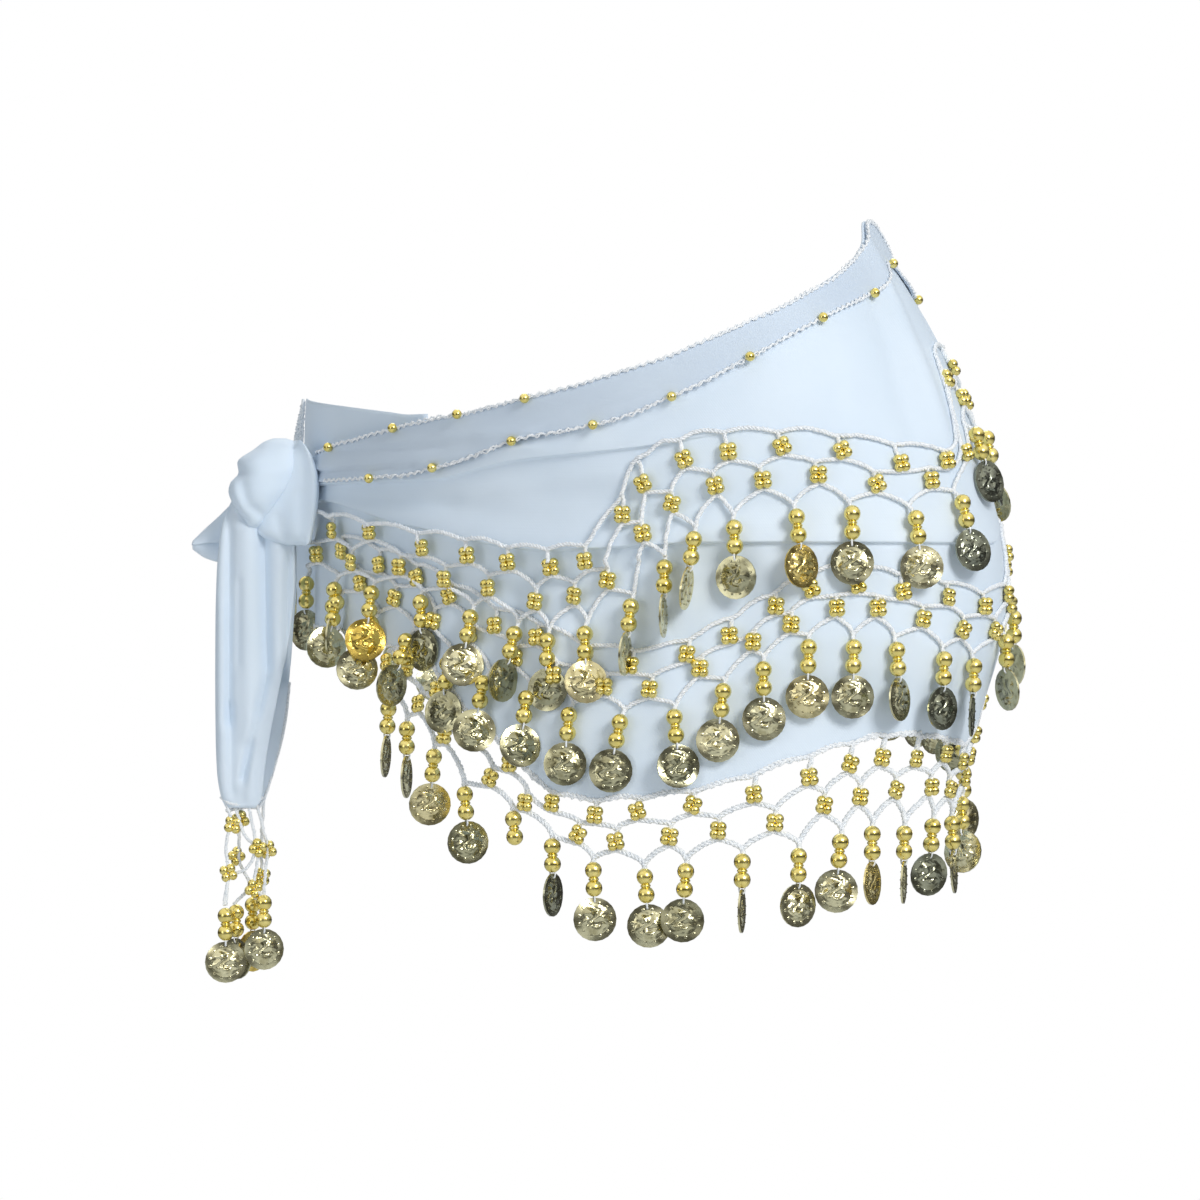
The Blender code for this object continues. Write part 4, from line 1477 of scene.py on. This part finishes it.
# Strings have their coin's turn in degrees and its tone after their place.
END_STRINGS = ((186, 24, -134, 5, 0.7), (182, 16, -133, -40, 0.4), (169.5, 22, -128.5, 20, 0.6),
               (175, 12, -130, 50, 0.98))
END_ROUTES = (
    ((186, 21, -88), (184, 22, -96), (186, 21, -108), (185, 21, -119), (187, 22, -133)),
    ((176, 22, -90), (173, 23, -107), (177, 22, -117), (185, 21, -121), (186, 22, -133)),
    ((173, 20, -88), (170, 21, -100), (168, 19, -109), (169, 21, -120), (169.5, 21, -129)),
    ((180, 16, -90), (181, 15, -112), (176, 18, -124), (183, 17, -133)),
    ((170, 15, -88), (171, 13, -104), (171, 13, -121), (174, 14, -131)),
    ((182, 21, -90), (178, 22, -102), (172, 23, -110), (174, 20, -125), (170, 21, -129)),
    ((186, 21, -92), (181, 20, -91), (174, 21, -89.5), (170, 20, -86)),
)
print("foot of the fall:", len(END_FLOWERS), "flowers,", len(END_ROUTES), "cords,", len(END_STRINGS), "ends")

# %% [markdown]
# Smooth routes run through the cords' places. The flowers, beads, coins and loops are the
# same copies as in the tiers.


# %% Make the net on the fall's foot
def at_knot(out, side, height):
    return by_knot(out * MM, side * MM, height * MM)


def rounded(points, per_step=5):
    """A smooth route through the listed points."""
    points = np.array([at_knot(*p)[:] for p in points])
    place = np.arange(len(points))
    fine = np.linspace(0, len(points) - 1, per_step * (len(points) - 1) + 1)
    return np.stack([smooth(place, points[:, axis], fine) for axis in range(3)], axis=1)


def at_foot(rows, turn_of, tone_of=None):
    """The places that set_copies takes, from rows that start with a place by the knot."""
    return [(at_knot(*row[:3]), turn_of(row), 1.0, tone_of(row) if tone_of else 0.5) for row in rows]


flower_places = at_foot(END_FLOWERS, lambda row: facing(VIEW_FACING + 40 * row[3], spin=row[3]))
string_places = at_foot(END_STRINGS, lambda row: facing(VIEW_FACING))
coin_places = at_foot(END_STRINGS, lambda row: facing(VIEW_FACING + row[3]), lambda row: row[4])
end_cords = cords("end_net_cords", [rounded(route) for route in END_ROUTES])
end_flowers = set_copies("end_net_flowers", flower_bead, BEAD_GOLD, flower_places)
end_beads = set_copies("end_string_beads", string_beads, BEAD_GOLD, string_places)
end_coins = set_copies("end_coins", one_coin, COIN_GOLD, coin_places)
end_threads = set_copies("end_coin_threads", one_loop, YARN, coin_places)
settle(end_cords, None, ["net_hanging_end"])
settle(end_flowers, None)
settle(end_beads, None)
settle(end_coins, None, ["coins_hanging_end"])
settle(end_threads, None)

# %% [markdown]
# ## Crochet edgings
#
# The rim, the band's lower edge, the hem and the ends are trimmed with a thin crochet
# cord that loops in and out, with a single bead every few centimetres on the upper two.
# Two cords wander side by side along each edge, and the eye reads them as crochet.


# %% An edging along a level
def edging_route(angles, level, out, dice, loop):
    """A thin crochet edge: uneven little loops, with a slow drift."""
    steps = np.arange(len(angles))
    drift = np.interp(steps, steps[::9], dice.normal(0, 1, len(steps[::9])))
    turn = steps * 1.9 + 2 * drift
    height = level(angles) + loop * np.sin(turn) + 0.5 * loop * drift
    return on_hips(angles, height, out(angles, height) + 0.5 * loop * np.cos(turn))


def edging(name, first, last, level, out, bead_pitches=(), thickness=1.1 * MM, seed=11):
    """A crochet edge between two angles, with beads from the first pitch to the last."""
    dice = np.random.default_rng(seed)
    angles = np.arange(first, last, 0.45)
    routes = [edging_route(angles, level, out, dice, loop) for loop in (0.5 * MM, 0.8 * MM)]
    pieces = [settle(cords(name + "_cord", routes, thickness, fuzz=0.5 * MM), None)]
    if bead_pitches:
        spots = columns_every(bead_pitches[0][0], bead_pitches[-1][0], bead_pitches)
        places = [(on_hips(a, level(a), out(a, level(a)) + 1.2 * MM), (0, 0, 0), 1.0, 0.5) for a in spots]
        beads = set_copies(name + "_beads", edge_bead, BEAD_GOLD, places)
        pieces.append(settle(beads, None))
    return pieces


def band_out(angle, height):
    return BAND_OUT + 0.5 * MM + band_lift(angle, height)


def hem_edge_out(angle, height):
    return WRAP_OUT + relief(angle, height)


RIM_PITCHES = ((-23.7, 52), (-7, 42), (6, 38), (31, 38))
BAND_PITCHES = ((-11, 41), (2, 45), (16, 40), (30, 38), (57, 41), (75, 36), (290, 37))
trims = edging("rim_edging", -29, 300, rim_at, band_out, RIM_PITCHES)
trims += edging("band_edging", -24, 300, band_foot, band_out, BAND_PITCHES, seed=12)
trims += edging("hem_edging", -49, 310, hem_wave, hem_edge_out, thickness=1.3 * MM, seed=13)

# %% [markdown]
# The under end's edge shows as a fuzzy trim by the knot: four cords side by side, which
# spread from the end's corner down to the knot. The fall has a cord along its back
# layer's edge and round its foot.

# %% Edge the two ends
under_edge_height = np.linspace(under_low.z + 18 * MM, under_high.z - 1 * MM, 40)
steps = np.arange(len(under_edge_height))
corner_edge = on_hips(-56.2, under_edge_height, UNDER_END_OUT)
under_edges = []
for spread in (0.2, 1.6, 3.0, 4.4):
    aside = spread * (1 - steps / steps[-1]) + 0.3 * np.sin(steps * 2.1 + spread)
    under_edges.append(corner_edge + np.outer(aside, KNOT_OUT) * MM)
under_trim = cords("under_end_edging", under_edges, 1.9 * MM, fuzz=0.9 * MM)
trims.append(settle(under_trim, None))
# In mm: the back layer's inner edge down to the cloth's foot, then along the foot.
FALL_EDGE = ((158.8, 14, -36), (160.5, 13.8, -52), (163.5, 13.8, -66), (167, 13.8, -78), (170.5, 15, -88.5),
             (173, 19, -90.8), (179, 22.5, -89.5), (185, 22.5, -88.3), (188.4, 19, -86))
fall_edge = cords("hanging_end_edging", [rounded(FALL_EDGE, 8)], 1.6 * MM, fuzz=0.5 * MM)
settle(fall_edge, None)

# %% [markdown]
# ## The copied originals
#
# The single beads and coins that were copied are no longer needed.

# %% Remove the copied originals
for original in (flower_bead, string_beads, edge_bead, one_coin, one_loop):
    bpy.data.objects.remove(original)

# %% [markdown]
# ## Stage and light
#
# The stage is a plain pale floor at standing height below the hips. Large soft lights give
# the even light of a studio: the key from above at the viewer's right, a weak fill from
# the left, and one from behind to catch the far edges.

# %% Floor and lights
FLOOR_DROP = 0.95  # the hips of a standing wearer are this far above the floor
floor_mesh = bmesh.new()
bmesh.ops.create_circle(floor_mesh, cap_ends=True, segments=96, radius=4.5)
floor_data = bpy.data.meshes.new("floor")
floor_mesh.to_mesh(floor_data)
floor_mesh.free()
floor_data.transform(Matrix.Translation((0, 0, -FLOOR_DROP)))
floor = add_object("floor", floor_data)
floor_data.materials.append(shader_of("pale floor", Base_Color=(0.9, 0.9, 0.9, 1), Roughness=0.8)[0])
floor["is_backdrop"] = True


def soft_light(name, place, size, power):
    light = bpy.data.lights.new(name, "AREA")
    light.shape = "DISK"
    light.size = size
    light.energy = power
    lamp = add_object(name, light)
    lamp.location = place
    lamp.rotation_euler = (-Vector(place)).to_track_quat("-Z", "Y").to_euler()


soft_light("key light", TO_VIEWER * 1.9 + VIEW_RIGHT * 1.2 + Vector((0, 0, 1.1)), 0.9, 32)
soft_light("fill light", TO_VIEWER * 1.6 - VIEW_RIGHT * 1.7 + Vector((0, 0, 0.2)), 1.0, 5)
soft_light("back light", -TO_VIEWER * 1.6 + Vector((0, 0, 1.8)), 1.2, 12)

# %% [markdown]
# The surround does three jobs, and a light path node tells them apart. The camera sees it
# white. As light it is dimmer and a little blue, as daylight in a pale room is. Reflections
# see it shaded from floor to ceiling, with a dark belt at eye level, because gold that
# reflects plain white looks flat.

# %% The surround
world = bpy.data.worlds.new("studio")
bpy.context.scene.world = world
world.use_nodes = True
links, nodes = world.node_tree.links.new, world.node_tree.nodes


def surround(colour, strength):
    background = nodes.new("ShaderNodeBackground")
    background.inputs["Color"].default_value = (*colour, 1)
    background.inputs["Strength"].default_value = strength
    return background


def choose(ray_kind, otherwise, when):
    mix = nodes.new("ShaderNodeMixShader")
    links(ray.outputs[ray_kind], mix.inputs[0])
    links(otherwise, mix.inputs[1])
    links(when, mix.inputs[2])
    return mix.outputs[0]


ray = nodes.new("ShaderNodeLightPath")
direction = nodes.new("ShaderNodeTexCoord")
split = nodes.new("ShaderNodeSeparateXYZ")
links(direction.outputs["Generated"], split.inputs[0])
room = nodes.new("ShaderNodeValToRGB")
ROOM_TONES = ((0.0, 0.6), (0.34, 0.4), (0.45, 0.08), (0.55, 0.06), (0.64, 0.5), (0.8, 1.0))
while len(room.color_ramp.elements) < len(ROOM_TONES):
    room.color_ramp.elements.new(0.5)
for element, (level, tone) in zip(room.color_ramp.elements, ROOM_TONES):
    element.position = level
    element.color = (tone, tone, tone * 0.97, 1)
lift = nodes.new("ShaderNodeMapRange")
lift.inputs["From Min"].default_value = -1
links(split.outputs["Z"], lift.inputs["Value"])
links(lift.outputs["Result"], room.inputs["Fac"])
in_reflections = surround((1, 1, 1), 1.0)
links(room.outputs["Color"], in_reflections.inputs["Color"])
as_light = surround((0.86, 0.94, 1.0), 0.42)
lit = choose("Is Glossy Ray", as_light.outputs[0], in_reflections.outputs[0])
seen = choose("Is Camera Ray", lit, surround((1, 1, 1), 1.0).outputs[0])
links(seen, nodes["World Output"].inputs["Surface"])
nodes.remove(nodes["Background"])
print("the surround has", len(nodes), "nodes, and", len(ROOM_TONES), "tones from floor to ceiling")

# %% [markdown]
# ## Sizes
#
# The box of the finished look is compared with the frame's box, as a last check that the
# fine pieces stay at the sizes of the solids under them.

# %% Write the sizes and finish
low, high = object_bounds()
past_low = [round((a - b) / MM, 1) for a, b in zip(cad_low, low)]
past_high = [round((a - b) / MM, 1) for a, b in zip(high, cad_high)]
print("the look goes past the frame's box by", past_low, "and", past_high, "mm")
